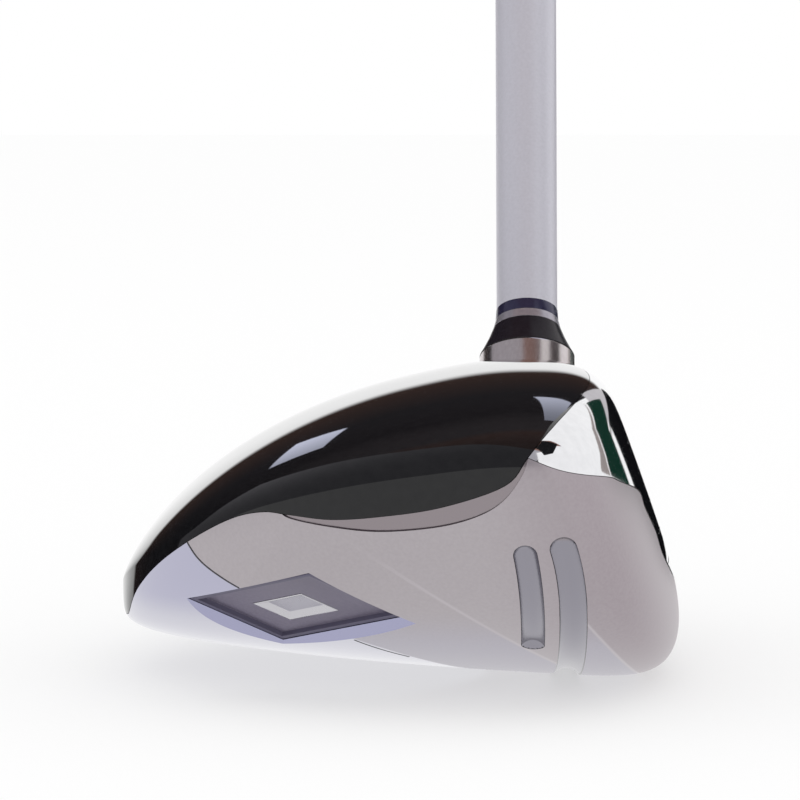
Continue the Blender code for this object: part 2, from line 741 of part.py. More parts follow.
def make_weight():
    """The internal weight: the cavity's own shape, trimmed to a low slab at the rear."""
    seat = SEAT_GAP
    room = HeadForm(
        CROWN_WALL + seat, SKIRT_WALL + seat, SOLE_WALL + seat, FACE_WALL + seat, TAIL_WALL + seat,
    )
    weight = add_part("sole_weight", room.mesh("sole_weight", CAVITY_SEGMENTS, CAVITY_RINGS), "tungsten")
    rear = TAIL_X + WEIGHT_FROM_TAIL
    low = (rear, -WEIGHT_HALF_WIDTH, -WEIGHT_TOP)
    high = (rear + WEIGHT_LENGTH, WEIGHT_HALF_WIDTH, WEIGHT_TOP)
    boolean(weight, box_between("weight_block", low, high), "INTERSECT")


def make_hosel():
    """The neck: a tube with a floor, bored for the shaft's tip."""
    bore = TIP_RADIUS + SEAT_GAP
    floor = HOSEL_FOOT + HOSEL_FLOOR
    profile = [
        (0.0, floor), (bore, floor), (bore, HOSEL_TOP),
        (HOSEL_RADIUS, HOSEL_TOP), (HOSEL_RADIUS, HOSEL_FOOT), (0.0, HOSEL_FOOT),
    ]
    turned_part("hosel_tube", profile, "polished_steel", closed=False)


def make_ferrule():
    """The collar above the hosel: a flared base, a bright ring and a top band."""
    base_top = FERRULE_FOOT + FERRULE_BASE_HEIGHT
    middle = (FERRULE_FOOT + base_top) / 2
    middle_radius = (HOSEL_RADIUS + FERRULE_RING_RADIUS) / 2 - FERRULE_FLARE
    base = [
        (FERRULE_RING_RADIUS, base_top), (middle_radius, middle), (HOSEL_RADIUS, FERRULE_FOOT),
        (shaft_radius(FERRULE_FOOT) + BOND_GAP, FERRULE_FOOT), (shaft_radius(base_top) + BOND_GAP, base_top),
    ]
    turned_part("ferrule_base", base, "ferrule_black")
    turned_band("ferrule_ring", RING_FOOT, FERRULE_RING_HEIGHT, FERRULE_RING_RADIUS, FERRULE_SHOULDER_RADIUS,
                "ferrule_silver")
    tip = TOP_FOOT + FERRULE_TOP_HEIGHT
    turned_band("ferrule_top", TOP_FOOT, FERRULE_TOP_HEIGHT, FERRULE_SHOULDER_RADIUS,
                shaft_radius(tip) + BOND_GAP + SEAT_GAP / 2, "ferrule_navy")


def turned_band(name, foot, height, foot_radius, top_radius, finish):
    """A tapered ring on the shaft."""
    top = foot + height
    profile = [
        (top_radius, top), (foot_radius, foot),
        (shaft_radius(foot) + BOND_GAP, foot), (shaft_radius(top) + BOND_GAP, top),
    ]
    turned_part(name, profile, finish)


def make_shaft():
    """The tapered tube, with its plug and cork in the tip."""
    drop = (SHAFT_TIP - SHAFT_BUTT) / SHAFT_STATIONS
    heights = [SHAFT_BUTT + drop * step for step in range(SHAFT_STATIONS + 1)]
    outside = [(shaft_radius(h), h) for h in heights]
    inside = [(shaft_bore(h), h) for h in reversed(heights)]
    turned_part("shaft_tube", outside + inside, "pearl_graphite")

    stem = shaft_bore(SHAFT_TIP) - BOND_GAP
    head_top = SHAFT_TIP - SEAT_GAP
    plug_top = SHAFT_TIP + PLUG_STEM
    plug = [
        (0.0, plug_top), (stem, plug_top), (stem, head_top), (TIP_RADIUS, head_top),
        (TIP_RADIUS, head_top - PLUG_HEAD), (0.0, head_top - PLUG_HEAD),
    ]
    turned_part("tip_plug", plug, "brass", closed=False)

    cork_foot = plug_top + SEAT_GAP
    cork_top = cork_foot + CORK_LENGTH
    cork = [
        (0.0, cork_top), (shaft_bore(cork_top) - BOND_GAP, cork_top),
        (shaft_bore(cork_foot) - BOND_GAP, cork_foot), (0.0, cork_foot),
    ]
    turned_part("tip_cork", cork, "cork", closed=False)


def make_grip():
    """The tape, the rubber sleeve and the end cap."""
    tape_foot = GRIP_MOUTH + TAPE_SHORT_OF_MOUTH
    tape_in = BOND_GAP
    tape_out = BOND_GAP + TAPE_THICKNESS
    tape = [
        (shaft_radius(SHAFT_BUTT) + tape_out, SHAFT_BUTT), (shaft_radius(tape_foot) + tape_out, tape_foot),
        (shaft_radius(tape_foot) + tape_in, tape_foot), (shaft_radius(SHAFT_BUTT) + tape_in, SHAFT_BUTT),
    ]
    turned_part("grip_tape", tape, "tape")

    bore_gap = tape_out + BOND_GAP
    drop = (GRIP_MOUTH + GRIP_MOUTH_ROUND - GRIP_END) / GRIP_STATIONS
    heights = [GRIP_END + drop * step for step in range(GRIP_STATIONS + 1)]
    outside = [(grip_radius(h), h) for h in heights]
    mouth = [
        (GRIP_MOUTH_RADIUS - GRIP_MOUTH_ROUND * 0.3, GRIP_MOUTH + GRIP_MOUTH_ROUND * 0.3),
        (GRIP_MOUTH_RADIUS - GRIP_MOUTH_ROUND, GRIP_MOUTH),
    ]
    inside = [(shaft_radius(GRIP_MOUTH) + bore_gap, GRIP_MOUTH), (shaft_radius(GRIP_END) + bore_gap, GRIP_END)]
    turned_part("grip_sleeve", outside + mouth + inside, "grip_rubber")

    cap_foot = CLUB_LENGTH - CAP_THICKNESS
    spigot_foot = cap_foot - CAP_SPIGOT
    spigot = shaft_radius(GRIP_END) + bore_gap - BOND_GAP
    cap = [
        (VENT_RADIUS, CLUB_LENGTH), (CAP_LIP_RADIUS - CAP_ROUND, CLUB_LENGTH),
        (CAP_LIP_RADIUS - CAP_ROUND * 0.3, CLUB_LENGTH - CAP_ROUND * 0.3),
        (CAP_LIP_RADIUS, CLUB_LENGTH - CAP_ROUND), (GRIP_BUTT_RADIUS, cap_foot),
        (spigot, cap_foot), (spigot, spigot_foot), (VENT_RADIUS, spigot_foot),
    ]
    turned_part("grip_cap", cap, "grip_rubber")


make_head()
make_badge()
make_weight()
make_hosel()
make_ferrule()
make_shaft()
make_grip()
bpy.context.view_layer.update()
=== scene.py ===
"""Dresses the hybrid golf club: head skins, badge, neck, ferrule, shaft and grip, on a pale studio stage."""

import math

import bpy
import numpy as np
from bpy.props import FloatProperty, FloatVectorProperty, IntProperty, PointerProperty
from mathutils import Matrix, Vector
from mathutils.bvhtree import BVHTree
from mathutils.interpolate import poly_3d_calc


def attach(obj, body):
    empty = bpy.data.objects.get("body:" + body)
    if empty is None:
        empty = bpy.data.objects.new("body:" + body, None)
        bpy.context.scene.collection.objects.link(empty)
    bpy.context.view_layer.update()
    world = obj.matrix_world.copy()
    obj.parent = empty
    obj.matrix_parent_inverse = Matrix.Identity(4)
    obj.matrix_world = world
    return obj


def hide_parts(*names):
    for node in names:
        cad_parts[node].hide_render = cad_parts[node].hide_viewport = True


bl_info = {
    "name": "Hybrid golf club",
    "version": (1, 0, 0),
    "blender": (4, 5, 0),
    "location": "View3D > Sidebar > Golf club",
    "description": "Models and finishes a hybrid golf club round its packed frame",
    "category": "Object",
}

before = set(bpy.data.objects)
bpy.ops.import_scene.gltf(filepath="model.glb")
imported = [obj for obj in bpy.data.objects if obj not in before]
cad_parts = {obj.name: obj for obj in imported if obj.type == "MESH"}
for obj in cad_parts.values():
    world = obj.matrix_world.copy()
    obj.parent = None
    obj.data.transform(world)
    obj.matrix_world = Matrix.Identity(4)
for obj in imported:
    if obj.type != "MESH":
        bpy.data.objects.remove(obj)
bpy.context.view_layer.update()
MM = 0.001
BODY = "root"
# Points nearer than this are one, and edges flatter than this are shaded smooth
TOUCHING = 2e-6
SMOOTH_ANGLE = math.radians(30)


class HeadSizes(bpy.types.PropertyGroup):
    """The head's outer form, in the club's frame."""

    widest_x: FloatProperty(
        name="Widest station", description="Where the head is widest", default=-4.4 * MM, unit="LENGTH",
    )
    front_length: FloatProperty(
        name="Front length", description="Widest station to the face", default=12.0 * MM, unit="LENGTH",
    )
    rear_length: FloatProperty(
        name="Rear length", description="Widest station to the tail", default=57.4 * MM, unit="LENGTH",
    )
    crown_height: FloatProperty(
        name="Crown height", description="Top of the crown", default=39.2 * MM, unit="LENGTH",
    )
    rim_height: FloatProperty(
        name="Rim height", description="Widest line of the skirt", default=30.0 * MM, unit="LENGTH",
    )
    face_height: FloatProperty(
        name="Face middle", description="Middle of the face", default=18.2 * MM, unit="LENGTH",
    )
    tail_height: FloatProperty(
        name="Tail height", description="Tip of the tail", default=11.2 * MM, unit="LENGTH",
    )
    toe_reach: FloatProperty(
        name="Toe reach", description="Middle of the face to the toe", default=51.0 * MM, unit="LENGTH",
    )
    heel_reach: FloatProperty(
        name="Heel reach", description="Middle of the face to the heel", default=55.0 * MM, unit="LENGTH",
    )
    sole_rise: FloatProperty(
        name="Sole rise", description="Slope of the sole towards the tail", default=0.062,
    )
    rest_depth: FloatProperty(
        name="Rest land", description="Depth of the flat the sole rests on", default=0.2 * MM, unit="LENGTH",
    )
    loft: FloatProperty(
        name="Loft", description="Lean of the face", default=math.radians(18.4), subtype="ANGLE",
    )
    roll: FloatProperty(
        name="Roll", description="Upright radius of the face", default=430.0 * MM, unit="LENGTH",
    )
    bulge: FloatProperty(
        name="Bulge", description="Level radius of the face", default=280.0 * MM, unit="LENGTH",
    )
    seam: FloatProperty(
        name="Seam", description="Width of the seams between the shells", default=0.07 * MM, unit="LENGTH",
    )
    segments: IntProperty(
        name="Segments", description="Faces round the head", default=256,
    )
    rings: IntProperty(
        name="Rings", description="Faces along the head", default=160,
    )


class BadgeSizes(bpy.types.PropertyGroup):
    """The lozenge tray sunk into the rear of the sole."""

    from_tail: FloatProperty(
        name="From tail", description="Tail to the badge's middle", default=22.7 * MM, unit="LENGTH",
    )
    angle: FloatProperty(
        name="Angle", description="How far under the toe", default=math.radians(39.8), subtype="ANGLE",
    )
    sink: FloatProperty(
        name="Sink", description="Depth of the tray's floor", default=2.4 * MM, unit="LENGTH",
    )
    turn: FloatProperty(
        name="Turn", description="Turn of its long axis", default=math.radians(16.2), subtype="ANGLE",
    )
    long: FloatProperty(
        name="Length", description="Long diagonal", default=28.2 * MM, unit="LENGTH",
    )
    short: FloatProperty(
        name="Width", description="Short diagonal", default=20.0 * MM, unit="LENGTH",
    )
    lean: FloatProperty(
        name="Lean", description="Lean of the short diagonal", default=math.radians(27), subtype="ANGLE",
    )
    floor: FloatProperty(
        name="Floor", description="Thickness of the tray's floor", default=0.9 * MM, unit="LENGTH",
    )
    rim: FloatProperty(
        name="Rim", description="Height of the tray's rim", default=0.7 * MM, unit="LENGTH",
    )
    share: FloatProperty(
        name="Inlay share", description="Inlay's size against the tray's", default=0.4,
    )


class NeckSizes(bpy.types.PropertyGroup):
    """Hosel, ferrule, shaft and grip, as radii and stations along the shaft's axis."""

    lie: FloatProperty(
        name="Lie", description="Shaft against the ground", default=math.radians(60), subtype="ANGLE",
    )
    lean: FloatProperty(
        name="Lean", description="Shaft towards the target", default=math.radians(0.72), subtype="ANGLE",
    )
    axis_x: FloatProperty(
        name="Axis forward", description="Where the axis meets the ground", default=-8.4 * MM, unit="LENGTH",
    )
    axis_y: FloatProperty(
        name="Axis across", description="Where the axis meets the ground", default=29.0 * MM, unit="LENGTH",
    )
    hosel_foot: FloatProperty(
        name="Hosel foot", description="Lower end of the hosel", default=20.0 * MM, unit="LENGTH",
    )
    hosel_top: FloatProperty(
        name="Hosel top", description="Upper end of the hosel", default=42.76 * MM, unit="LENGTH",
    )
    hosel_radius: FloatProperty(
        name="Hosel radius", description="Outside of the hosel", default=6.75 * MM, unit="LENGTH",
    )
    tip_radius: FloatProperty(
        name="Tip radius", description="Shaft at its tip", default=4.25 * MM, unit="LENGTH",
    )
    butt_radius: FloatProperty(
        name="Butt radius", description="Shaft at its butt", default=7.6 * MM, unit="LENGTH",
    )
    shaft_tip: FloatProperty(
        name="Shaft tip", description="Lower end of the shaft", default=24.8 * MM, unit="LENGTH",
    )
    shaft_butt: FloatProperty(
        name="Shaft butt", description="Upper end of the shaft", default=1011.7 * MM, unit="LENGTH",
    )
    grip_mouth: FloatProperty(
        name="Grip mouth", description="Lower end of the grip", default=756.0 * MM, unit="LENGTH",
    )
    club_length: FloatProperty(
        name="Club length", description="Ground to the butt", default=1022.0 * MM, unit="LENGTH",
    )


class StageSizes(bpy.types.PropertyGroup):
    """The camera of the picture."""

    elevation: FloatProperty(
        name="Elevation", description="Camera above the horizon", default=math.radians(4.0), subtype="ANGLE",
    )
    distance: FloatProperty(
        name="Distance", description="Camera to the sole's point of rest", default=0.510, unit="LENGTH",
    )
    focal: FloatProperty(
        name="Focal length", description="Lens, in millimetres", default=176.5,
    )
    origin_u: FloatProperty(
        name="Origin across", description="Pixel column of the point of rest", default=600.0,
    )
    origin_v: FloatProperty(
        name="Origin down", description="Pixel row of the point of rest", default=665.7,
    )


class FinishColours(bpy.types.PropertyGroup):
    """The colours of the finishes, each as the darker tone of its grain."""

    crown_paint: FloatVectorProperty(
        name="Crown paint", description="Deep black of the crown",
        default=(0.004, 0.004, 0.005), subtype="COLOR",
    )
    face_steel: FloatVectorProperty(
        name="Face steel", description="Polished steel of the face",
        default=(0.78, 0.78, 0.80), subtype="COLOR",
    )
    neck_steel: FloatVectorProperty(
        name="Neck steel", description="Fine-turned steel of the hosel",
        default=(0.60, 0.55, 0.555), subtype="COLOR",
    )
    sole_satin: FloatVectorProperty(
        name="Sole satin", description="Blasted steel of the sole and skirt",
        default=(0.42, 0.387, 0.407), subtype="COLOR",
    )
    tray_floor: FloatVectorProperty(
        name="Tray floor", description="Anodised floor of the badge's tray",
        default=(0.17, 0.15, 0.21), subtype="COLOR",
    )
    tray_rim: FloatVectorProperty(
        name="Tray rim", description="Rim of the badge's tray",
        default=(0.11, 0.10, 0.155), subtype="COLOR",
    )
    inlay_floor: FloatVectorProperty(
        name="Inlay floor", description="Dished middle of the inlay",
        default=(0.37, 0.36, 0.41), subtype="COLOR",
    )
    inlay_border: FloatVectorProperty(
        name="Inlay border", description="Sloped border of the inlay",
        default=(0.56, 0.55, 0.58), subtype="COLOR",
    )
    ferrule_base: FloatVectorProperty(
        name="Ferrule base", description="Black cone of the ferrule",
        default=(0.011, 0.008, 0.012), subtype="COLOR",
    )
    ferrule_ring: FloatVectorProperty(
        name="Ferrule ring", description="Silver-coloured ring of the ferrule",
        default=(0.33, 0.31, 0.36), subtype="COLOR",
    )
    ferrule_top: FloatVectorProperty(
        name="Ferrule top", description="Navy band of the ferrule",
        default=(0.022, 0.020, 0.055), subtype="COLOR",
    )
    shaft_lacquer: FloatVectorProperty(
        name="Shaft lacquer", description="Pale pearl of the shaft",
        default=(0.535, 0.525, 0.585), subtype="COLOR",
    )
    grip_rubber: FloatVectorProperty(
        name="Grip rubber", description="Black of the grip and its cap",
        default=(0.014, 0.014, 0.015), subtype="COLOR",
    )


# Fullness of the head's sections: 2 is an ellipse, more is squarer
FACE_EDGE_LENGTHWISE = 3.3
FACE_EDGE_TOP = 14.0
FACE_EDGE_SOLE = 2.5
FACE_EDGE_SIDE = 4.2
REAR_LENGTHWISE = 2.1
REAR_CROWN_FALL = 1.31
REAR_SOLE_FALL = 0.3
REAR_PLAN_FALL = 0.92
CROWN_FULLNESS = 2.5
HULL_FULLNESS = 2.15
LEAN_FRONT = 10.0 * MM
LEAN_REAR = -26.0 * MM


def face_x(y, z):
    """How far forward the lofted face stands, with its roll and bulge."""
    head = bpy.context.scene.club_head
    above = z - head.face_height
    lean = above * math.tan(head.loft) + above ** 2 / (2 * head.roll)
    return LEAN_FRONT - lean - y ** 2 / (2 * head.bulge)


def head_point(lengthwise, around):
    """Points of the head's form, from face (0) to tail (pi), and round from heel over crown to toe."""
    head = bpy.context.scene.club_head
    lengthwise, around = np.broadcast_arrays(lengthwise, around)
    ahead = np.cos(lengthwise)
    span = np.abs(np.sin(lengthwise))
    front = ahead > 0
    reach = np.abs(ahead)
    straight_x = np.where(
        front,
        head.widest_x + head.front_length * reach ** (2 / FACE_EDGE_LENGTHWISE),
        head.widest_x - head.rear_length * reach ** (2 / REAR_LENGTHWISE),
    )
    rise = np.where(front, span ** (2 / FACE_EDGE_TOP), span ** REAR_CROWN_FALL)
    drop = np.where(front, span ** (2 / FACE_EDGE_SOLE), span ** REAR_SOLE_FALL)
    width = np.where(front, span ** (2 / FACE_EDGE_SIDE), span ** REAR_PLAN_FALL)
    end = np.where(front, head.face_height, head.tail_height)
    tilt = np.where(front, 0.0, head.sole_rise * (head.widest_x - straight_x) * drop)
    crown = end + (head.crown_height - end) * rise
    rim = end + (head.rim_height - end) * rise
    sole = end - end * drop + tilt
    across = np.cos(around)
    upward = np.sin(around)
    half_width = np.where(across < 0, head.toe_reach, head.heel_reach) * width
    fullness = np.where(upward > 0, CROWN_FULLNESS, HULL_FULLNESS)
    y = np.sign(across) * half_width * np.abs(across) ** (2 / fullness)
    height = np.abs(upward) ** (2 / fullness)
    z = np.where(upward > 0, rim + (crown - rim) * height, rim - (rim - sole) * height)
    share = np.clip((straight_x - LEAN_REAR) / (LEAN_FRONT - LEAN_REAR), 0, 1)
    x = straight_x + share ** 2 * (3 - 2 * share) * (face_x(y, z) - LEAN_FRONT)
    return np.stack([x, y, z - head.rest_depth], axis=-1)


# Angles kept clear of the form's two ends, and halvings, in the search for a station
END_CLEARANCE = 0.02
HALVINGS = 40


def head_normal(lengthwise, around):
    """Outward unit normals of the head's form."""
    step = 1e-4
    along = head_point(lengthwise + step, around) - head_point(lengthwise - step, around)
    about = head_point(lengthwise, around + step) - head_point(lengthwise, around - step)
    normal = np.cross(along, about)
    return normal / np.linalg.norm(normal, axis=-1, keepdims=True)


def lengthwise_at(x, around):
    """The lengthwise angle at which the form passes x, by bisection."""
    low = np.full(np.shape(around), END_CLEARANCE)
    high = np.full(np.shape(around), math.pi - END_CLEARANCE)
    for _ in range(HALVINGS):
        middle = (low + high) / 2
        ahead = head_point(middle, around)[..., 0] > x
        low = np.where(ahead, middle, low)
        high = np.where(ahead, high, middle)
    return (low + high) / 2


def clear_selection():
    """Leave edit mode and select nothing."""
    if bpy.context.object and bpy.context.object.mode != "OBJECT":
        bpy.ops.object.mode_set(mode="OBJECT")
    bpy.ops.object.select_all(action="DESELECT")


def only(piece):
    """Select one piece and make it active."""
    clear_selection()
    piece.select_set(True)
    bpy.context.view_layer.objects.active = piece


def added(name):
    """The primitive just added, under its name."""
    piece = bpy.context.object
    piece.name = name
    return piece


def edit_whole():
    """Enter edit mode with everything selected."""
    bpy.ops.object.mode_set(mode="EDIT")
    bpy.ops.mesh.select_all(action="SELECT")


def face_outward():
    """Turn all faces outward and leave edit mode."""
    bpy.ops.mesh.select_all(action="SELECT")
    bpy.ops.mesh.normals_make_consistent(inside=False)
    bpy.ops.object.mode_set(mode="OBJECT")


def ball_points(mesh):
    """A sphere's points, as an array."""
    ball = np.empty(len(mesh.vertices) * 3)
    mesh.vertices.foreach_get("co", ball)
    return ball.reshape(-1, 3)


def copy_of(piece, name):
    """A copy of a piece with its own mesh."""
    twin = piece.copy()
    twin.data = piece.data.copy()
    twin.name = name
    bpy.context.scene.collection.objects.link(twin)
    return twin


def cut(piece, cutter, operation="DIFFERENCE"):
    """Cut, trim or join a piece with another solid, at once."""
    modifier = piece.modifiers.new("cut", "BOOLEAN")
    modifier.operation = operation
    modifier.object = cutter
    modifier.solver = "MANIFOLD"
    only(piece)
    bpy.ops.object.modifier_apply(modifier=modifier.name)


def scrap(*helpers):
    """Delete helper solids."""
    for helper in helpers:
        mesh = helper.data
        bpy.data.objects.remove(helper, do_unlink=True)
        bpy.data.meshes.remove(mesh)


def dress(piece, material, slot, *nodes):
    """Give a finished piece its material and body, and hide the CAD nodes it stands for; the slot is not
    used.
    """
    piece.data.materials.clear()
    piece.data.materials.append(material)
    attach(piece, BODY)
    if nodes:
        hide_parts(*nodes)


def head_form(name, segments, rings):
    """The head's form as one closed mesh: a sphere whose points are moved onto it."""
    clear_selection()
    bpy.ops.mesh.primitive_uv_sphere_add(segments=segments, ring_count=rings, radius=1.0)
    form = added(name)
    ball = ball_points(form.data)
    lengthwise = np.arccos(np.clip(ball[:, 2], -1, 1))
    around = np.arctan2(ball[:, 1], ball[:, 0])
    form.data.vertices.foreach_set("co", head_point(lengthwise, around).ravel())
    form.data.update()
    return form


def smooth_line(points, steps=6):
    """A smooth line through given points, as a list of finer points."""
    points = [Vector(p) for p in points]
    ends = [points[0] * 2 - points[1]] + points + [points[-1] * 2 - points[-2]]
    line = []
    for before, start, finish, after in zip(ends, ends[1:], ends[2:], ends[3:]):
        for step in range(steps):
            t = step / steps
            pull = (finish - before) * t + (before * 2 - start * 5 + finish * 4 - after) * t ** 2
            swing = (start * 3 - before - finish * 3 + after) * t ** 3
            line.append(start + (pull + swing) / 2)
    line.append(points[-1])
    return line


def shifted(line, distance):
    """A flat line moved sideways to its left by a distance."""
    moved = []
    for index, point in enumerate(line):
        ahead = line[min(index + 1, len(line) - 1)] - line[max(index - 1, 0)]
        side = Vector((-ahead.y, ahead.x)).normalized()
        moved.append(point + side * distance)
    return moved


def swept_along_bulge(name, outline, toe_end, heel_end, steps=28):
    """A toe-view outline extruded from one end to the other along the face's bulge."""
    bulge = bpy.context.scene.club_head.bulge
    clear_selection()
    bpy.ops.mesh.primitive_circle_add(vertices=len(outline), radius=1.0, fill_type="NGON")
    prism = added(name)
    for vertex, point in zip(prism.data.vertices, outline):
        vertex.co = (point.x - toe_end ** 2 / (2 * bulge), toe_end, point.y)
    stations = np.linspace(toe_end, heel_end, steps + 1)
    edit_whole()
    for near, far in zip(stations, stations[1:]):
        back = (near ** 2 - far ** 2) / (2 * bulge)
        bpy.ops.mesh.extrude_region_move(TRANSFORM_OT_translate={"value": (back, far - near, 0.0)})
    face_outward()
    return prism


# Toe-view lines on the head, (x, z) in millimetres once the bulge is laid straight
CROWN_SEAM = [
    (-60.6, 7.8), (-58.5, 12.0), (-54.9, 16.0), (-49.7, 19.8), (-43.9, 22.9), (-39.5, 24.0),
    (-35.9, 23.8), (-30.7, 23.5), (-24.4, 24.1), (-16.9, 25.4), (-9.2, 28.1), (-6.5, 31.4),
]
CROWN_SEAM_TOP = (-1.8, 38.0)
CROWN_SEAM_TAIL_EXIT = (-66.0, 4.0)
FACE_SEAM = [
    (-2.9, 30.0), (1.6, 28.7), (3.0, 27.7), (4.6, 25.8), (5.5, 23.3), (6.6, 20.3), (7.4, 17.6), (8.2, 15.2),
    (9.4, 12.0), (11.4, 9.0), (14.0, 6.0), (17.0, 3.0),
]
FACE_SEAM_EXIT = (22.0, 0.0)
STEP_BORDER = [
    (-37.6, 24.6), (-36.0, 23.4), (-29.5, 22.5), (-23.9, 22.3), (-17.0, 23.1), (-12.1, 24.6),
    (-9.1, 26.6), (-7.0, 29.6), (-6.2, 32.4),
]
STEP_DEPTH = 0.3 * MM
SWEEP_MARGIN = 8.0 * MM
SEAM_LEAD = 4.0 * MM
STEP_OVERLAP = 0.4 * MM
FACE_HEEL_END = 46.0 * MM
CEILING = 60.0 * MM
# How the crown's shading rolls over at the tail, and which faces count as skin or as ground
ROLL = 1.2
ROLL_FROM = -42.0 * MM
ROLL_LENGTH = 18.0 * MM
ROLL_TOEWARD = 0.5
ROLL_UPRIGHT = 0.5
SKIN_AGREES = 0.6
GROUND_LEVEL = 0.9999
# Name, width, depth, x at the toe and inward, share in which it bends, angles under the toe, stations
GROOVES = [
    ("rear_groove", 2.9 * MM, 0.8 * MM, -11.3 * MM, -9.7 * MM, 0.5, 18.2, 48.0, 25),
    ("front_groove", 3.4 * MM, 0.8 * MM, -6.8 * MM, -5.0 * MM, 0.085, 16.5, 146.0, 61),
]
FINE_LINE_RADIUS = 0.26 * MM
FINE_LINE_SINK = 0.21 * MM
FINE_LINES = [
    [(-51.9, -30.5, 19.3), (-50.4, -31.8, 17.4), (-47.9, -33.2, 15.6), (-45.5, -33.9, 14.3)],
    [(-31.5, -30.2, 7.5), (-28.2, -27.6, 6.1), (-24.9, -25.1, 4.8)],
]
SCORE_COUNT = 7
SCORE_PITCH = 3.8 * MM
SCORE_RADIUS = 0.3 * MM
SCORE_DEPTH = 0.03 * MM
SCORE_LENGTH = 44.0 * MM
SCORE_LOWEST = 8.0 * MM
SCORE_STATIONS = 25


def in_metres(pairs):
    """Line points written in millimetres, as vectors in metres."""
    return [Vector(pair) * MM for pair in pairs]


def sweep_ends():
    """Where sweeps that cross the whole head begin and end."""
    head = bpy.context.scene.club_head
    return -head.toe_reach - SWEEP_MARGIN, head.heel_reach + SWEEP_MARGIN


def crown_region(name, shift):
    """Everything above the crown seam, moved by a shift across the seam."""
    seam = smooth_line(in_metres(CROWN_SEAM))
    top = Vector(CROWN_SEAM_TOP) * MM
    line = [Vector(CROWN_SEAM_TAIL_EXIT) * MM] + seam + [top + (top - seam[-1])]
    line = shifted(line, shift)
    outline = line + [Vector((line[-1].x, CEILING)), Vector((line[0].x, CEILING))]
    return swept_along_bulge(name, outline, *sweep_ends())


def face_region(name, shift):
    """Everything ahead of the polished face's border, moved by a shift across it."""
    corner = in_metres(CROWN_SEAM)[-1]
    seam = smooth_line([corner] + in_metres(FACE_SEAM))
    inward = corner + (corner - seam[1]).normalized() * SEAM_LEAD
    line = shifted([inward] + seam + [Vector(FACE_SEAM_EXIT) * MM], shift)
    ahead = CEILING / 2
    beyond = [Vector((ahead, line[-1].y)), Vector((ahead, CEILING)), Vector((line[0].x, CEILING))]
    toe_end, _ = sweep_ends()
    return swept_along_bulge(name, line + beyond, toe_end, FACE_HEEL_END)


def move_in(form, depth):
    """Move a form's points inward along their normals."""
    for vertex, normal in zip(form.data.vertices, [v.normal.copy() for v in form.data.vertices]):
        vertex.co -= normal * depth
    form.data.update()


def rolled(normal, place, roll):
    """A normal of the form, lifted where the tail's edge on the toe side rolls over."""
    share = min(max((ROLL_FROM - place.x) / ROLL_LENGTH, 0.0), 1.0)
    share = share ** 2 * (3 - 2 * share) * min(max(-normal.y / ROLL_TOEWARD, 0.0), 1.0)
    normal.z += roll * share * max(ROLL_UPRIGHT - normal.z, 0.0)
    return normal.normalized()


def smooth_skin(piece, form, roll=0.0):
    """Smooth shading whose normals, on the head's form, are the form's own, rolled at the tail."""
    only(piece)
    bpy.ops.object.shade_smooth_by_angle(angle=SMOOTH_ANGLE)
    places = [vertex.co.copy() for vertex in form.data.vertices]
    normals = [vertex.normal.copy() for vertex in form.data.vertices]
    faces = [tuple(polygon.vertices) for polygon in form.data.polygons]
    tree = form_tree(form)
    skin = {}
    for vertex in piece.data.vertices:
        place, _, index, distance = tree.find_nearest(vertex.co)
        if distance < TOUCHING:
            corners = faces[index]
            weights = poly_3d_calc([places[c] for c in corners], place)
            blended = Vector()
            for corner, weight in zip(corners, weights):
                blended += normals[corner] * weight
            skin[vertex.index] = rolled(blended, place, roll)
    loop_normals = [(0.0, 0.0, 0.0)] * len(piece.data.loops)
    cut_into = piece.data.attributes.new("cut_into", "FLOAT", "FACE")
    rim = piece.data.attributes.new("rim", "FLOAT", "CORNER")
    for polygon in piece.data.polygons:
        on_skin = all(v in skin and skin[v].dot(polygon.normal) > SKIN_AGREES for v in polygon.vertices)
        on_ground = polygon.normal.z < -GROUND_LEVEL
        cut_into.data[polygon.index].value = 0.0 if on_skin or on_ground else 1.0
        for loop in polygon.loop_indices:
            vertex = piece.data.loops[loop].vertex_index
            if on_skin:
                loop_normals[loop] = tuple(skin[vertex])
            elif vertex in skin:
                rim.data[loop].value = 1.0
    piece.data.normals_split_custom_set(loop_normals)


def capsule(name, path, outward, radius, sides=20, cap_rings=5):
    """A round-ended bar along a path, from a sphere whose rings are spread along it."""
    path = np.asarray(path)
    outward = np.asarray(outward)
    along = np.gradient(path, axis=0)
    along /= np.linalg.norm(along, axis=1, keepdims=True)
    outward = outward - along * np.sum(outward * along, axis=1, keepdims=True)
    outward /= np.linalg.norm(outward, axis=1, keepdims=True)
    side = np.cross(along, outward)
    rings = len(path) - 1 + 2 * cap_rings
    station = np.clip(np.arange(rings + 1) - cap_rings, 0, len(path) - 1)
    swing = np.zeros(rings + 1)
    swing[:cap_rings] = -math.pi / 2 * (1 - np.arange(cap_rings) / cap_rings)
    swing[-cap_rings:] = math.pi / 2 * np.arange(1, cap_rings + 1) / cap_rings
    clear_selection()
    bpy.ops.mesh.primitive_uv_sphere_add(segments=sides, ring_count=rings, radius=1.0)
    bar = added(name)
    ball = ball_points(bar.data)
    ring = np.rint(np.arccos(np.clip(ball[:, 2], -1, 1)) / math.pi * rings).astype(int)
    turn = np.arctan2(ball[:, 1], ball[:, 0])[:, None]
    at = station[ring]
    reach = (radius * np.cos(swing[ring]))[:, None]
    ahead = (radius * np.sin(swing[ring]))[:, None]
    place = path[at] + along[at] * ahead + (side[at] * np.cos(turn) + outward[at] * np.sin(turn)) * reach
    bar.data.vertices.foreach_set("co", place.ravel())
    bar.data.update()
    return bar


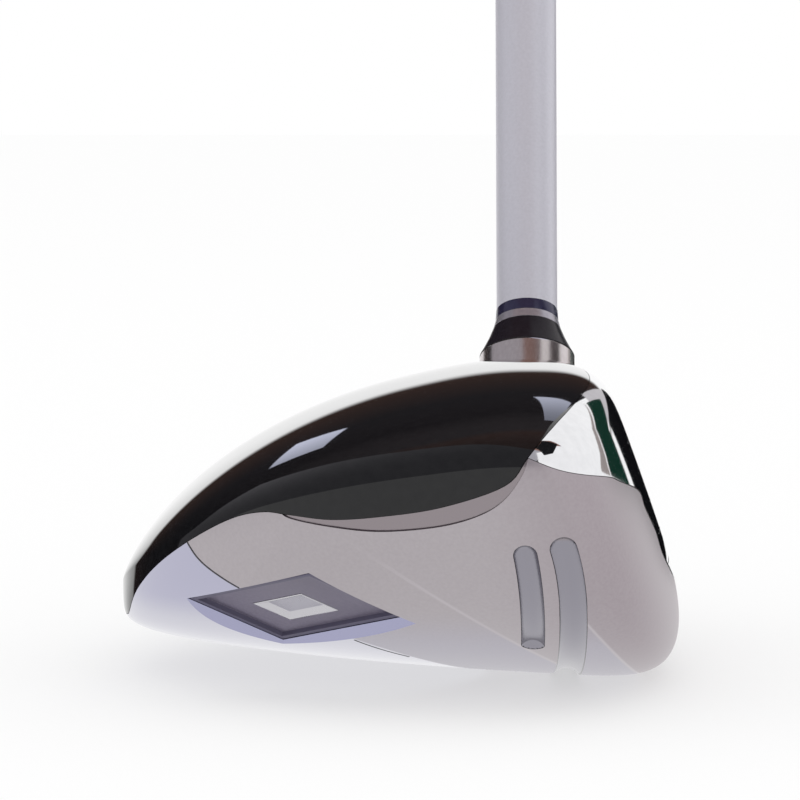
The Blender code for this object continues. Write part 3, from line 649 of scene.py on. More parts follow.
def groove(name, width, depth, toe_x, inner_x, bend, first, last, count):
    """A bar along the sole that cuts a round-bottomed groove, bent forward within a share of its length."""
    half = width / 2
    radius = (half ** 2 + depth ** 2) / (2 * depth)
    around = math.pi + np.radians(np.linspace(first, last, count))
    x = toe_x + (inner_x - toe_x) * (1 - np.exp(-np.linspace(0, 1, count) / bend))
    lengthwise = lengthwise_at(x, around)
    outward = head_normal(lengthwise, around)
    path = head_point(lengthwise, around) + outward * (radius - depth)
    return capsule(name, path, outward, radius, sides=48, cap_rings=12)


def form_tree(form):
    """A search tree of a form's faces."""
    places = [vertex.co.copy() for vertex in form.data.vertices]
    return BVHTree.FromPolygons(places, [tuple(polygon.vertices) for polygon in form.data.polygons])


def engraved(name, tree, points):
    """A thin bar let into the head's skin through given points."""
    line = smooth_line([Vector(point) * MM for point in points])
    path = []
    outward = []
    for point in line:
        place, normal, _, _ = tree.find_nearest(point)
        path.append(place - normal * FINE_LINE_SINK)
        outward.append(normal)
    return capsule(name, path, outward, FINE_LINE_RADIUS, sides=12, cap_rings=3)


def score_line(name, tree, height):
    """A bar level across the face that cuts a shallow score line."""
    path = []
    outward = []
    for y in np.linspace(-SCORE_LENGTH / 2, SCORE_LENGTH / 2, SCORE_STATIONS):
        place, normal, _, _ = tree.ray_cast(Vector((CEILING, y, height)), Vector((-1.0, 0.0, 0.0)))
        path.append(place + normal * (SCORE_RADIUS - SCORE_DEPTH))
        outward.append(normal)
    return capsule(name, path, outward, SCORE_RADIUS, sides=12, cap_rings=3)


def badge_frame():
    """The badge's own frame: the tray's floor, its long axis and the sole's normal over it."""
    head = bpy.context.scene.club_head
    badge = bpy.context.scene.club_badge
    around = np.array(math.pi + badge.angle)
    lengthwise = lengthwise_at(head.widest_x - head.rear_length + badge.from_tail, around)
    outward = Vector(head_normal(lengthwise, around))
    ahead = Vector((1.0, 0.0, 0.0))
    ahead = (ahead - outward * ahead.dot(outward)).normalized()
    long_axis = Matrix.Rotation(badge.turn, 3, outward) @ ahead
    matrix = Matrix((long_axis, outward.cross(long_axis), outward)).transposed().to_4x4()
    matrix.translation = Vector(head_point(lengthwise, around)) - outward * badge.sink
    return matrix


def offset_corner(corners, index, margin):
    """A corner of a convex outline, moved out so that both its sides move by a margin."""
    here = corners[index]
    into = (here - corners[index - 1]).normalized()
    out = (corners[(index + 1) % len(corners)] - here).normalized()
    normal_in = Vector((into.y, -into.x))
    normal_out = Vector((out.y, -out.x))
    bisector = (normal_in + normal_out).normalized()
    return here + bisector * (margin / bisector.dot(normal_in))


def lozenge(name, margin, bottom, top, share=1.0, flare=0.0, shift=(0.0, 0.0)):
    """A lozenge slab in the badge's frame, from one depth to another, its top flared, moved sideways."""
    badge = bpy.context.scene.club_badge
    tip = Vector((badge.long / 2 * share, 0.0))
    peak = Vector((math.sin(badge.lean), math.cos(badge.lean))) * badge.short / 2 * share
    middle = Vector(shift)
    corners = [middle + tip, middle + peak, middle - tip, middle - peak]
    clear_selection()
    bpy.ops.mesh.primitive_circle_add(vertices=4, radius=1.0, fill_type="NGON")
    slab = added(name)
    low = [offset_corner(corners, index, margin) for index in range(4)]
    high = [offset_corner(corners, index, margin + flare) for index in range(4)]
    for vertex, corner in zip(slab.data.vertices, low):
        vertex.co = (*corner, bottom)
    edit_whole()
    bpy.ops.mesh.extrude_region_move(TRANSFORM_OT_translate={"value": (0.0, 0.0, top - bottom)})
    bpy.ops.object.mode_set(mode="OBJECT")
    for vertex in slab.data.vertices:
        if vertex.select:
            nearest = min(range(4), key=lambda index: (low[index] - vertex.co.xy).length)
            vertex.co = (*high[nearest], top)
    edit_whole()
    face_outward()
    slab.data.transform(badge_frame())
    return slab


def soften(piece, width):
    """Round a piece's sharp edges a little and shade it smooth."""
    bevel = piece.modifiers.new("soften", "BEVEL")
    bevel.width = width
    bevel.segments = 2
    bevel.limit_method = "ANGLE"
    bevel.angle_limit = SMOOTH_ANGLE
    only(piece)
    bpy.ops.object.modifier_apply(modifier=bevel.name)
    bpy.ops.object.shade_smooth_by_angle(angle=SMOOTH_ANGLE)


def turned(name, profile, vertices=128):
    """A turned piece: a circle extruded round a closed profile, then leaned onto the shaft's axis."""
    neck = bpy.context.scene.club_neck
    clear_selection()
    radius, height = profile[0]
    bpy.ops.mesh.primitive_circle_add(vertices=vertices, radius=radius)
    piece = added(name)
    edit_whole()
    bpy.ops.transform.translate(value=(0.0, 0.0, height))
    for next_radius, next_height in profile[1:] + profile[:1]:
        rise = (0.0, 0.0, next_height - height)
        bpy.ops.mesh.extrude_region_move(TRANSFORM_OT_translate={"value": rise})
        ratio = next_radius / radius
        bpy.ops.transform.resize(value=(ratio, ratio, 1.0), center_override=(0.0, 0.0, next_height))
        radius = next_radius
        height = next_height
    bpy.ops.mesh.select_all(action="SELECT")
    bpy.ops.mesh.remove_doubles(threshold=TOUCHING)
    face_outward()
    piece.location = (neck.axis_x, neck.axis_y, 0.0)
    piece.rotation_euler = (neck.lie - math.pi / 2, neck.lean, 0.0)
    bpy.ops.object.transform_apply(location=True, rotation=True, scale=True)
    bpy.ops.object.shade_smooth_by_angle(angle=SMOOTH_ANGLE)
    return piece


def shaft_radius(height):
    """The shaft's outer radius at a station."""
    neck = bpy.context.scene.club_neck
    share = (height - neck.shaft_tip) / (neck.shaft_butt - neck.shaft_tip)
    return neck.tip_radius + (neck.butt_radius - neck.tip_radius) * share


def node_material(name):
    """A new node material: its tree and its Principled shader."""
    material = bpy.data.materials.new(name)
    material.use_nodes = True
    return material, material.node_tree, material.node_tree.nodes["Principled BSDF"]


def object_noise(tree, scale, detail=4.0, stretch=(1.0, 1.0, 1.0)):
    """Noise on Object coordinates, stretched along the piece's axes."""
    place = tree.nodes.new("ShaderNodeTexCoord")
    mapping = tree.nodes.new("ShaderNodeMapping")
    mapping.inputs["Scale"].default_value = stretch
    noise = tree.nodes.new("ShaderNodeTexNoise")
    noise.inputs["Scale"].default_value = scale
    noise.inputs["Detail"].default_value = detail
    tree.links.new(place.outputs["Object"], mapping.inputs["Vector"])
    tree.links.new(mapping.outputs["Vector"], noise.inputs["Vector"])
    return noise


def ramp_between(tree, source, low, high):
    """Spread a 0 to 1 value between two numbers."""
    spread = tree.nodes.new("ShaderNodeMapRange")
    spread.inputs["To Min"].default_value = low
    spread.inputs["To Max"].default_value = high
    tree.links.new(source, spread.inputs["Value"])
    return spread.outputs["Result"]


GRAIN_LOW = 0.3
GRAIN_HIGH = 0.7
BUMP_DISTANCE = 0.05 * MM


def tint_between(tree, source, dark, lift):
    """A colour from a dark tone to one that is lighter by a lift, by a 0 to 1 value."""
    light = [tone + rise for tone, rise in zip(dark, lift)]
    ramp = tree.nodes.new("ShaderNodeValToRGB")
    ramp.color_ramp.elements[0].position = GRAIN_LOW
    ramp.color_ramp.elements[1].position = GRAIN_HIGH
    ramp.color_ramp.elements[0].color = (*dark, 1.0)
    ramp.color_ramp.elements[1].color = (*light, 1.0)
    tree.links.new(source, ramp.inputs["Fac"])
    return ramp.outputs["Color"]


# Plain finishes with a fine grain: lift of its light tone, metal, roughness and scale of the grain
FINISHES = {
    "gloss_black": dict(lift=(0.003, 0.003, 0.003), metal=0.0, rough=(0.03, 0.05), scale=900.0, gloss=0.38),
    "mirror_steel": dict(lift=(0.06, 0.06, 0.06), metal=1.0, rough=(0.03, 0.07), scale=700.0),
    "brushed_neck": dict(
        lift=(0.07, 0.07, 0.07), metal=1.0, rough=(0.16, 0.24), scale=900.0, stretch=(3.0, 3.0, 0.4),
    ),
    "line_paint": dict(lift=(0.015, 0.014, 0.016), metal=0.0, rough=(0.4, 0.5), scale=2500.0),
    "ferrule_black": dict(
        lift=(0.004, 0.004, 0.005), metal=0.0, rough=(0.18, 0.24), scale=1200.0, gloss=0.08,
    ),
    "ferrule_silver": dict(lift=(0.07, 0.07, 0.07), metal=0.6, rough=(0.18, 0.26), scale=1500.0),
    "ferrule_navy": dict(lift=(0.008, 0.008, 0.015), metal=0.3, rough=(0.18, 0.24), scale=1200.0),
    "pearl_lacquer": dict(lift=(0.04, 0.04, 0.045), metal=0.2, rough=(0.36, 0.42), scale=2500.0),
    "grip_rubber": dict(lift=(0.012, 0.012, 0.013), metal=0.0, rough=(0.7, 0.85), scale=1800.0, bump=0.6),
    "cast_weight": dict(lift=(0.12, 0.12, 0.12), metal=1.0, rough=(0.45, 0.6), scale=1500.0, bump=0.2),
    "turned_brass": dict(lift=(0.12, 0.10, 0.06), metal=1.0, rough=(0.2, 0.35), scale=1200.0, bump=0.05),
    "pressed_cork": dict(lift=(0.26, 0.20, 0.12), metal=0.0, rough=(0.8, 0.95), scale=1400.0, bump=0.5),
    "paper_tape": dict(lift=(0.10, 0.10, 0.10), metal=0.0, rough=(0.7, 0.85), scale=900.0, bump=0.1),
}
LINE_PAINT = (0.02, 0.018, 0.022)


def finish(name, colour):
    """One of the plain finishes, in its colour."""
    return grained(name, colour, **FINISHES[name])


def grained(name, dark, lift, metal, rough, scale, bump=0.0, stretch=(1.0, 1.0, 1.0), gloss=0.5):
    """A finish with fine tone and roughness grain, and a slight bump."""
    material, tree, shader = node_material(name)
    noise = object_noise(tree, scale, stretch=stretch)
    tree.links.new(tint_between(tree, noise.outputs["Fac"], dark, lift), shader.inputs["Base Color"])
    tree.links.new(ramp_between(tree, noise.outputs["Fac"], *rough), shader.inputs["Roughness"])
    shader.inputs["Metallic"].default_value = metal
    shader.inputs["Specular IOR Level"].default_value = gloss
    if bump:
        relief = tree.nodes.new("ShaderNodeBump")
        relief.inputs["Strength"].default_value = bump
        relief.inputs["Distance"].default_value = BUMP_DISTANCE
        tree.links.new(noise.outputs["Fac"], relief.inputs["Height"])
        tree.links.new(relief.outputs["Normal"], shader.inputs["Normal"])
    return material


def side_of(tree, place, normal, through, softness):
    """1 on the side of a plane that its normal points to, 0 on the other, with a soft border."""
    dot = tree.nodes.new("ShaderNodeVectorMath")
    dot.operation = "DOT_PRODUCT"
    tree.links.new(place, dot.inputs[0])
    normal = Vector(normal).normalized()
    dot.inputs[1].default_value = normal
    level = normal.dot(Vector(through) * MM)
    spread = tree.nodes.new("ShaderNodeMapRange")
    spread.interpolation_type = "SMOOTHSTEP"
    spread.inputs["From Min"].default_value = level - softness * MM
    spread.inputs["From Max"].default_value = level + softness * MM
    tree.links.new(dot.outputs["Value"], spread.inputs["Value"])
    return spread.outputs["Result"]


def joined(tree, operation, *values):
    """Several masks joined by one operation."""
    total = values[0]
    for value in values[1:]:
        join = tree.nodes.new("ShaderNodeMath")
        join.operation = operation
        tree.links.new(total, join.inputs[0])
        tree.links.new(value, join.inputs[1])
        total = join.outputs["Value"]
    return total


def mixed(tree, mask, first, second, kind="RGBA"):
    """One colour or number where the mask is 0 and another where it is 1."""
    mix = tree.nodes.new("ShaderNodeMix")
    mix.data_type = kind
    tree.links.new(mask, mix.inputs["Factor"])
    sockets = [socket for socket in mix.inputs if socket.enabled and socket.name in ("A", "B")]
    for socket, value in zip(sockets, (first, second)):
        if isinstance(value, bpy.types.NodeSocket):
            tree.links.new(value, socket)
        else:
            socket.default_value = value
    return next(socket for socket in mix.outputs if socket.enabled)


# Planes on the sole: normal, a point on the plane and the softness of its border, in millimetres
POLISH = [
    ((-0.785, 0.0, -0.62), (-51.9, 0.0, 19.3), 0.08),
    ((-0.584, 0.0, -0.81), (-50.4, 0.0, 17.4), 0.08),
    ((-0.476, 0.0, -0.879), (-47.9, 0.0, 15.6), 0.08),
    ((-0.379, 0.0, -0.926), (-31.5, 0.0, 7.5), 0.08),
]
# Below this plane the polished steel is lighter: painted reflection of the white floor
FLOOR_REFLECTION_LOW = ((0.0, 0.0, -1.0), (0.0, 0.0, 10.5), 2.0)
WARM_FRONT = ((1.0, 0.0, 0.3), (-7.0, 0.0, 14.0), 9.0)
SOLE_LOW = ((0.0, 0.0, -1.0), (0.0, 0.0, 9.5), 3.0)
# Plane above which the painted ridge highlight stops
RIDGE_HIGHLIGHT_LOW = ((0.0, 0.0, -1.0), (0.0, 0.0, 17.0), 5.0)
# The sole's rail lies below two soft ridges, the second of them ahead only. The ridges are not modelled:
# each gets a light painted highlight line, and the rail below a cooler painted reflection.
SOLE_RAIL = [
    ((-0.555, 0.0, -0.832), (-21.3, 0.0, 13.8), 0.15),
    ((-0.774, 0.0, -0.634), (-1.1, 0.0, 7.5), 0.15),
]
RAIL_AHEAD = ((1.0, 0.0, 0.0), (-5.1, 0.0, 0.0), 0.3)
RIDGE_HIGHLIGHT_HALF_WIDTH = 0.15
# Planes that tell the grooves from the badge's recess, and the crescent step from both
GROOVES_AHEAD = ((1.0, 0.0, 0.0), (-18.0, 0.0, 0.0), 2.0)
STEP_ABOVE = ((0.0, 0.0, 1.0), (0.0, 0.0, 21.6), 0.3)
# Tones of the sole beside its satin, painted reflection, highlight and shade among them, and the reach of
# the painted shade line into a groove
SOLE_LIFT = (0.03, 0.03, 0.03)
WARM_TONE = (0.355, 0.31, 0.335)
# Painted reflection on the low rail, and painted highlight on the ridges
RAIL_REFLECTION_TONE = (0.41, 0.39, 0.445)
RIDGE_HIGHLIGHT_TONE = (0.50, 0.465, 0.49, 1.0)
# Polished steel with a painted lavender reflection, and a lighter painted reflection of the floor low down
POLISH_AND_REFLECTION_TONE = (0.46, 0.455, 0.57, 1.0)
POLISH_FLOOR_REFLECTION_TONE = (0.56, 0.555, 0.63, 1.0)
# Painted reflection in the badge's recess; painted shade in the grooves, along their edges and on the step
RECESS_REFLECTION_TONE = (0.38, 0.38, 0.53, 1.0)
GROOVE_SHADE_TONE = (0.29, 0.28, 0.32, 1.0)
EDGE_SHADE_TONE = (0.045, 0.043, 0.05, 1.0)
EDGE_SHADE_REACH = 0.3
STEP_SHADE_TONE = (0.29, 0.255, 0.27, 1.0)
SATIN_ROUGH = (0.30, 0.38)
POLISH_ROUGH = 0.14
CUT_ROUGH = 0.24
FINE_GRAIN = 2500.0
TRAY_LIFT = (0.03, 0.03, 0.03)
TRAY_ROUGH = (0.42, 0.50)
TRAY_METAL = 0.4
RIM_FROM = 0.06
RIM_SOFTNESS = 0.03
INLAY_GRAIN = 500.0
INLAY_LIFT = (0.02, 0.02, 0.02)
INLAY_ROUGH = (0.25, 0.30)
BORDER_FROM = -0.5


def attribute(tree, name):
    """A number stored on a piece's faces or corners."""
    node = tree.nodes.new("ShaderNodeAttribute")
    node.attribute_name = name
    return node.outputs["Fac"]


def rail_mask(tree, place, inset):
    """1 on the sole's rail, in from the ridges by an inset in millimetres, 0 off it."""
    masks = []
    for normal, through, softness in SOLE_RAIL:
        level = Vector(through) + Vector(normal).normalized() * inset
        masks.append(side_of(tree, place, normal, level, softness))
    ahead = joined(tree, "MINIMUM", masks[1], side_of(tree, place, *RAIL_AHEAD))
    return joined(tree, "MAXIMUM", masks[0], ahead)


def sole_tone(tree, place, noise):
    """The sole's satin: warmer ahead, cooler on the low rail as painted reflection, with light painted
    highlight lines on the ridges.
    """
    satin = tint_between(tree, noise, bpy.context.scene.club_colours.sole_satin, SOLE_LIFT)
    warm = tint_between(tree, noise, WARM_TONE, SOLE_LIFT)
    satin = mixed(tree, side_of(tree, place, *WARM_FRONT), satin, warm)
    low = side_of(tree, place, *SOLE_LOW)
    rail = joined(tree, "MINIMUM", low, rail_mask(tree, place, 0.0))
    # Painted reflection: a cooler tone on the low rail below the ridges
    satin = mixed(tree, rail, satin, tint_between(tree, noise, RAIL_REFLECTION_TONE, SOLE_LIFT))
    # Painted highlight: a light line along each ridge, between two insets of the rail
    edges = [rail_mask(tree, place, inset) for inset in (-RIDGE_HIGHLIGHT_HALF_WIDTH, RIDGE_HIGHLIGHT_HALF_WIDTH)]
    band = joined(tree, "SUBTRACT", *edges)
    ridge_highlight = joined(tree, "MINIMUM", band, side_of(tree, place, *RIDGE_HIGHLIGHT_LOW))
    return mixed(tree, ridge_highlight, satin, RIDGE_HIGHLIGHT_TONE)


def cut_tone(tree, place):
    """The tone inside the sole's cuts: painted lavender reflection in the recess, painted shade in the
    grooves with a darker painted shade line along their edges, and painted shade on the step.
    """
    ahead = side_of(tree, place, *GROOVES_AHEAD)
    # Painted reflection in the recess and painted shade in the grooves
    inside = mixed(tree, ahead, RECESS_REFLECTION_TONE, GROOVE_SHADE_TONE)
    # Painted shade: a dark line just inside each groove's edge
    outline = tree.nodes.new("ShaderNodeMapRange")
    outline.inputs["From Max"].default_value = EDGE_SHADE_REACH
    tree.links.new(joined(tree, "MINIMUM", attribute(tree, "rim"), ahead), outline.inputs["Value"])
    inside = mixed(tree, outline.outputs["Result"], inside, EDGE_SHADE_TONE)
    # Painted shade on the crescent step
    return mixed(tree, side_of(tree, place, *STEP_ABOVE), inside, STEP_SHADE_TONE)


def sole_steel():
    """Bead-blasted warm grey steel, polished at the rear corner, under it and where it is cut into, with
    painted reflection, highlight and shade laid into its colour.
    """
    material, tree, shader = node_material("sole_steel")
    noise = object_noise(tree, FINE_GRAIN).outputs["Fac"]
    place = tree.nodes.new("ShaderNodeTexCoord").outputs["Object"]
    polish = joined(tree, "MAXIMUM", *[side_of(tree, place, *plane) for plane in POLISH])
    # Painted reflection: lavender on the polished steel, lighter low down where it would mirror the floor
    bright = mixed(tree, side_of(tree, place, *FLOOR_REFLECTION_LOW), POLISH_AND_REFLECTION_TONE, POLISH_FLOOR_REFLECTION_TONE)
    skin = mixed(tree, polish, sole_tone(tree, place, noise), bright)
    cut_into = attribute(tree, "cut_into")
    tree.links.new(mixed(tree, cut_into, skin, cut_tone(tree, place)), shader.inputs["Base Color"])
    rough = mixed(tree, polish, ramp_between(tree, noise, *SATIN_ROUGH), POLISH_ROUGH, "FLOAT")
    tree.links.new(mixed(tree, cut_into, rough, CUT_ROUGH, "FLOAT"), shader.inputs["Roughness"])
    shader.inputs["Metallic"].default_value = 1.0
    return material


def above_badge_floor(tree, height):
    """1 over a height above the tray's floor, in millimetres, 0 under it."""
    place = tree.nodes.new("ShaderNodeTexCoord").outputs["Object"]
    tray = badge_frame()
    outward = tray.to_3x3() @ Vector((0.0, 0.0, 1.0))
    through = tray.translation / MM + outward * height
    return side_of(tree, place, outward, through, RIM_SOFTNESS)


def badge_grey():
    """Grey anodised tray with a navy rim."""
    colours = bpy.context.scene.club_colours
    material, tree, shader = node_material("badge_grey")
    noise = object_noise(tree, FINE_GRAIN).outputs["Fac"]
    floor = tint_between(tree, noise, colours.tray_floor, TRAY_LIFT)
    tone = mixed(tree, above_badge_floor(tree, RIM_FROM), floor, (*colours.tray_rim, 1.0))
    tree.links.new(tone, shader.inputs["Base Color"])
    tree.links.new(ramp_between(tree, noise, *TRAY_ROUGH), shader.inputs["Roughness"])
    shader.inputs["Metallic"].default_value = TRAY_METAL
    return material


def badge_light():
    """Pale satin inlay, lighter on its sloped border."""
    colours = bpy.context.scene.club_colours
    material, tree, shader = node_material("badge_light")
    noise = object_noise(tree, INLAY_GRAIN, detail=1.0).outputs["Fac"]
    floor = tint_between(tree, noise, colours.inlay_floor, INLAY_LIFT)
    tone = mixed(tree, above_badge_floor(tree, BORDER_FROM), floor, (*colours.inlay_border, 1.0))
    tree.links.new(tone, shader.inputs["Base Color"])
    tree.links.new(ramp_between(tree, noise, *INLAY_ROUGH), shader.inputs["Roughness"])
    shader.inputs["Metallic"].default_value = 1.0
    return material


# How the crown's lacquer mirrors: from and to which facing its coat grows, and how far
COAT_FROM = 0.7
COAT_TO = 0.85
COAT_MOST = 0.5
COAT_ROUGHNESS = 0.03


def gloss_black(colour):
    """Deep black paint under clear lacquer, which mirrors most seen edge on."""
    material = finish("gloss_black", colour)
    tree = material.node_tree
    shader = tree.nodes["Principled BSDF"]
    shader.inputs["Coat Roughness"].default_value = COAT_ROUGHNESS
    layer = tree.nodes.new("ShaderNodeLayerWeight")
    edge_on = tree.nodes.new("ShaderNodeMapRange")
    edge_on.inputs["From Min"].default_value = COAT_FROM
    edge_on.inputs["From Max"].default_value = COAT_TO
    edge_on.inputs["To Max"].default_value = COAT_MOST
    tree.links.new(layer.outputs["Facing"], edge_on.inputs["Value"])
    tree.links.new(edge_on.outputs["Result"], shader.inputs["Coat Weight"])
    return material


GROUND = 400.0 * MM
HOSEL_CLEARANCE = 0.15 * MM
ROOM_CORE = 0.5 * MM
STEP_SEGMENTS = 192
STEP_RINGS = 120
BADGE_CLEARANCE = 0.15 * MM


class CLUB_OT_head(bpy.types.Operator):
    """Model the crown, the sole body and the face as one smooth head, split at its seams"""

    bl_idname = "club.head"
    bl_label = "Head"

    def execute(self, context):
        head = context.scene.club_head
        colours = context.scene.club_colours
        form = head_form("head_form", head.segments, head.rings)
        tree = form_tree(form)
        half = head.seam / 2
        crown_area = crown_region("crown_area", half)
        crown_clear = crown_region("crown_clear", -half)
        face_area = face_region("face_area", half)
        face_clear = face_region("face_clear", -half)
        room = self.hosel_room(context)
        ground = self.ground()
        crown = copy_of(form, "gloss_crown")
        cut(crown, crown_area, "INTERSECT")
        cut(crown, room)
        body = copy_of(form, "sole_body")
        for cutter in (crown_clear, face_clear, room, ground):
            cut(body, cutter)
        for cutter in self.sole_cutters():
            cut(body, cutter)
            scrap(cutter)
        face = copy_of(form, "polished_face")
        cut(face, face_area, "INTERSECT")
        for cutter in (crown_clear, room, ground):
            cut(face, cutter)
        for index in range(SCORE_COUNT):
            score = score_line("score", tree, SCORE_LOWEST + SCORE_PITCH * index)
            cut(face, score)
            scrap(score)
        smooth_skin(crown, form, ROLL)
        smooth_skin(body, form)
        smooth_skin(face, form)
        dress(crown, gloss_black(colours.crown_paint), "gloss_black", "crown_plate")
        dress(body, sole_steel(), "satin_steel", "body_shell")
        dress(face, finish("mirror_steel", colours.face_steel), "polished_steel", "face_cup")
        lines = self.line_fill(tree)
        dress(lines, finish("line_paint", LINE_PAINT), "gloss_black")
        scrap(form, crown_area, crown_clear, face_area, face_clear, room, ground)
        return {"FINISHED"}

    def ground(self):
        """The ground, which trims the sole to the flat it rests on."""
        clear_selection()
        bpy.ops.mesh.primitive_cube_add(size=GROUND, location=(0.0, 0.0, -GROUND / 2))
        bpy.ops.object.transform_apply(location=True, rotation=True, scale=True)
        return bpy.context.object

    def line_fill(self, tree):
        """The dark paint in the two fine lines of the sole, as one piece."""
        bars = [engraved("sole_line_fill", tree, points) for points in FINE_LINES]
        clear_selection()
        for bar in bars:
            bar.select_set(True)
        bpy.context.view_layer.objects.active = bars[0]
        bpy.ops.object.join()
        bpy.ops.object.shade_smooth()
        return bars[0]

    def hosel_room(self, context):
        """The room that the head leaves round the hosel."""
        neck = context.scene.club_neck
        reach = neck.hosel_radius + HOSEL_CLEARANCE
        top = neck.hosel_top * 1.5
        foot = neck.hosel_foot
        return turned("hosel_room", [(reach, top), (reach, foot), (ROOM_CORE, foot), (ROOM_CORE, top)])

    def sole_cutters(self):
        """Solids that cut the step, the badge's recess and the grooves."""
        badge = bpy.context.scene.club_badge
        border = smooth_line(in_metres(STEP_BORDER))
        crown_seam = smooth_line(in_metres(CROWN_SEAM))
        seam = [point for point in crown_seam if border[0].x < point.x < border[-1].x]
        raised = [point + Vector((0.0, STEP_OVERLAP)) for point in reversed(seam)]
        sliver = swept_along_bulge("step_sliver", border + raised, sweep_ends()[0], 0.0)
        inner = head_form("step_floor", STEP_SEGMENTS, STEP_RINGS)
        move_in(inner, STEP_DEPTH)
        cut(sliver, inner)
        scrap(inner)
        rise = badge.short / 2
        recess = lozenge("badge_recess", BADGE_CLEARANCE, -badge.floor, badge.short)
        slope = lozenge("badge_slope", BADGE_CLEARANCE, badge.rim, badge.rim + rise, flare=rise)
        grooves = [groove(*sizes) for sizes in GROOVES]
        return [sliver, recess, slope] + grooves


# The tray's wall, the inlay's pocket and the dish in the inlay
TRAY_WALL = 0.6 * MM
TRAY_EDGE = 0.06 * MM
INLAY_SHIFT = (-0.6 * MM, -1.3 * MM)
INLAY_DEPTH = 0.7 * MM
INLAY_PROUD = 0.03 * MM
INLAY_EDGE = 0.03 * MM
POCKET_GAP = 0.05 * MM
DISH_BORDER = 1.1 * MM
DISH_DEPTH = 0.55 * MM
DISH_TOP = 0.25 * MM
DISH_FLARE = 1.2 * MM


class CLUB_OT_badge(bpy.types.Operator):
    """Model the lozenge tray in the sole and the plain inlay in its floor"""

    bl_idname = "club.badge"
    bl_label = "Sole badge"

    def execute(self, context):
        badge = context.scene.club_badge
        inlaid = {"share": badge.share, "shift": INLAY_SHIFT}
        tray = lozenge("badge_tray", 0.0, -badge.floor, badge.rim)
        hollow = lozenge("hollow", -TRAY_WALL, 0.0, badge.rim * 2)
        cut(tray, hollow)
        pocket = lozenge("pocket", POCKET_GAP, -INLAY_DEPTH - POCKET_GAP, badge.rim, **inlaid)
        cut(tray, pocket)
        scrap(hollow, pocket)
        soften(tray, TRAY_EDGE)
        dress(tray, badge_grey(), "badge_grey", "sole_badge")
        inlay = lozenge("badge_inlay_plate", 0.0, -INLAY_DEPTH, INLAY_PROUD, **inlaid)
        dish = lozenge("dish", -DISH_BORDER, -DISH_DEPTH, DISH_TOP, flare=DISH_FLARE, **inlaid)
        cut(inlay, dish)
        scrap(dish)
        soften(inlay, INLAY_EDGE)
        dress(inlay, badge_light(), "badge_light", "badge_inlay")
        return {"FINISHED"}


# The hosel's bore and top edge, the gaps between the bands, and how closely they fit the shaft
HOSEL_BORE_GAP = 0.3 * MM
HOSEL_CHAMFER = 0.15 * MM
BAND_FIT = 0.02 * MM
FERRULE_GAP = 0.1 * MM
# Outside of each band: radius, and height above the band's foot, in millimetres
CONE_ROWS = [(6.75, 0.0), (6.25, 1.0), (5.58, 2.4), (4.85, 4.3)]
RING_FOOT = 4.4 * MM
RING_ROWS = [(4.83, 0.0), (4.52, 1.25)]
TOP_FOOT = 5.72 * MM
TOP_HEIGHT = 1.65 * MM
TOP_FOOT_RADIUS = 4.5 * MM
TOP_PROUD = 0.04 * MM
TOP_ROUND = 0.03 * MM
TOP_ROUND_HEIGHT = 0.1 * MM


class CLUB_OT_neck(bpy.types.Operator):
    """Model the hosel and the three bands of the ferrule"""

    bl_idname = "club.neck"
    bl_label = "Hosel and ferrule"

    def execute(self, context):
        neck = context.scene.club_neck
        colours = context.scene.club_colours
        top = neck.hosel_top
        radius = neck.hosel_radius
        bore = neck.tip_radius + HOSEL_BORE_GAP
        hosel = turned("hosel_neck", [
            (bore, top), (radius - HOSEL_CHAMFER, top), (radius, top - HOSEL_CHAMFER),
            (radius, neck.hosel_foot), (bore, neck.hosel_foot),
        ])
        dress(hosel, finish("brushed_neck", colours.neck_steel), "polished_steel", "hosel_tube")
        foot = top + FERRULE_GAP
        base = self.band("ferrule_cone", self.rows(CONE_ROWS, foot))
        dress(base, finish("ferrule_black", colours.ferrule_base), "ferrule_black", "ferrule_base")
        ring = self.band("ferrule_bright_ring", self.rows(RING_ROWS, foot + RING_FOOT))
        dress(ring, finish("ferrule_silver", colours.ferrule_ring), "ferrule_silver", "ferrule_ring")
        tip_foot = foot + TOP_FOOT
        tip = tip_foot + TOP_HEIGHT
        end = shaft_radius(tip) + TOP_PROUD
        top_band = self.band("ferrule_top_band", [
            (TOP_FOOT_RADIUS, tip_foot), (end + TOP_ROUND, tip - TOP_ROUND_HEIGHT), (end, tip),
        ])
        dress(top_band, finish("ferrule_navy", colours.ferrule_top), "ferrule_navy", "ferrule_top")
        return {"FINISHED"}

    def rows(self, table, foot):
        """A band's outside, from its table and its foot."""
        return [(radius * MM, foot + height * MM) for radius, height in table]

    def band(self, name, outside):
        """A band of the ferrule, bored for the shaft."""
        foot = outside[0][1]
        top = outside[-1][1]
        bored = [(shaft_radius(top) + BAND_FIT, top), (shaft_radius(foot) + BAND_FIT, foot)]
        piece = turned(name, outside + bored)
        piece.visible_glossy = False
        return piece


SHAFT_STATIONS = 13
BUTT_WALL = 1.2 * MM
TIP_WALL = 2.0 * MM


class CLUB_OT_shaft(bpy.types.Operator):
    """Model the tapered graphite shaft"""

    bl_idname = "club.shaft"
    bl_label = "Shaft"

    def execute(self, context):
        neck = context.scene.club_neck
        colours = context.scene.club_colours
        heights = [float(h) for h in np.linspace(neck.shaft_tip, neck.shaft_butt, SHAFT_STATIONS)]
        outside = [(shaft_radius(h), h) for h in heights]
        inside = [(outside[-1][0] - BUTT_WALL, heights[-1]), (outside[0][0] - TIP_WALL, heights[0])]
        shaft = turned("graphite_shaft", outside + inside)
        dress(shaft, finish("pearl_lacquer", colours.shaft_lacquer), "pearl_graphite", "shaft_tube")
        shaft.visible_glossy = False
        return {"FINISHED"}


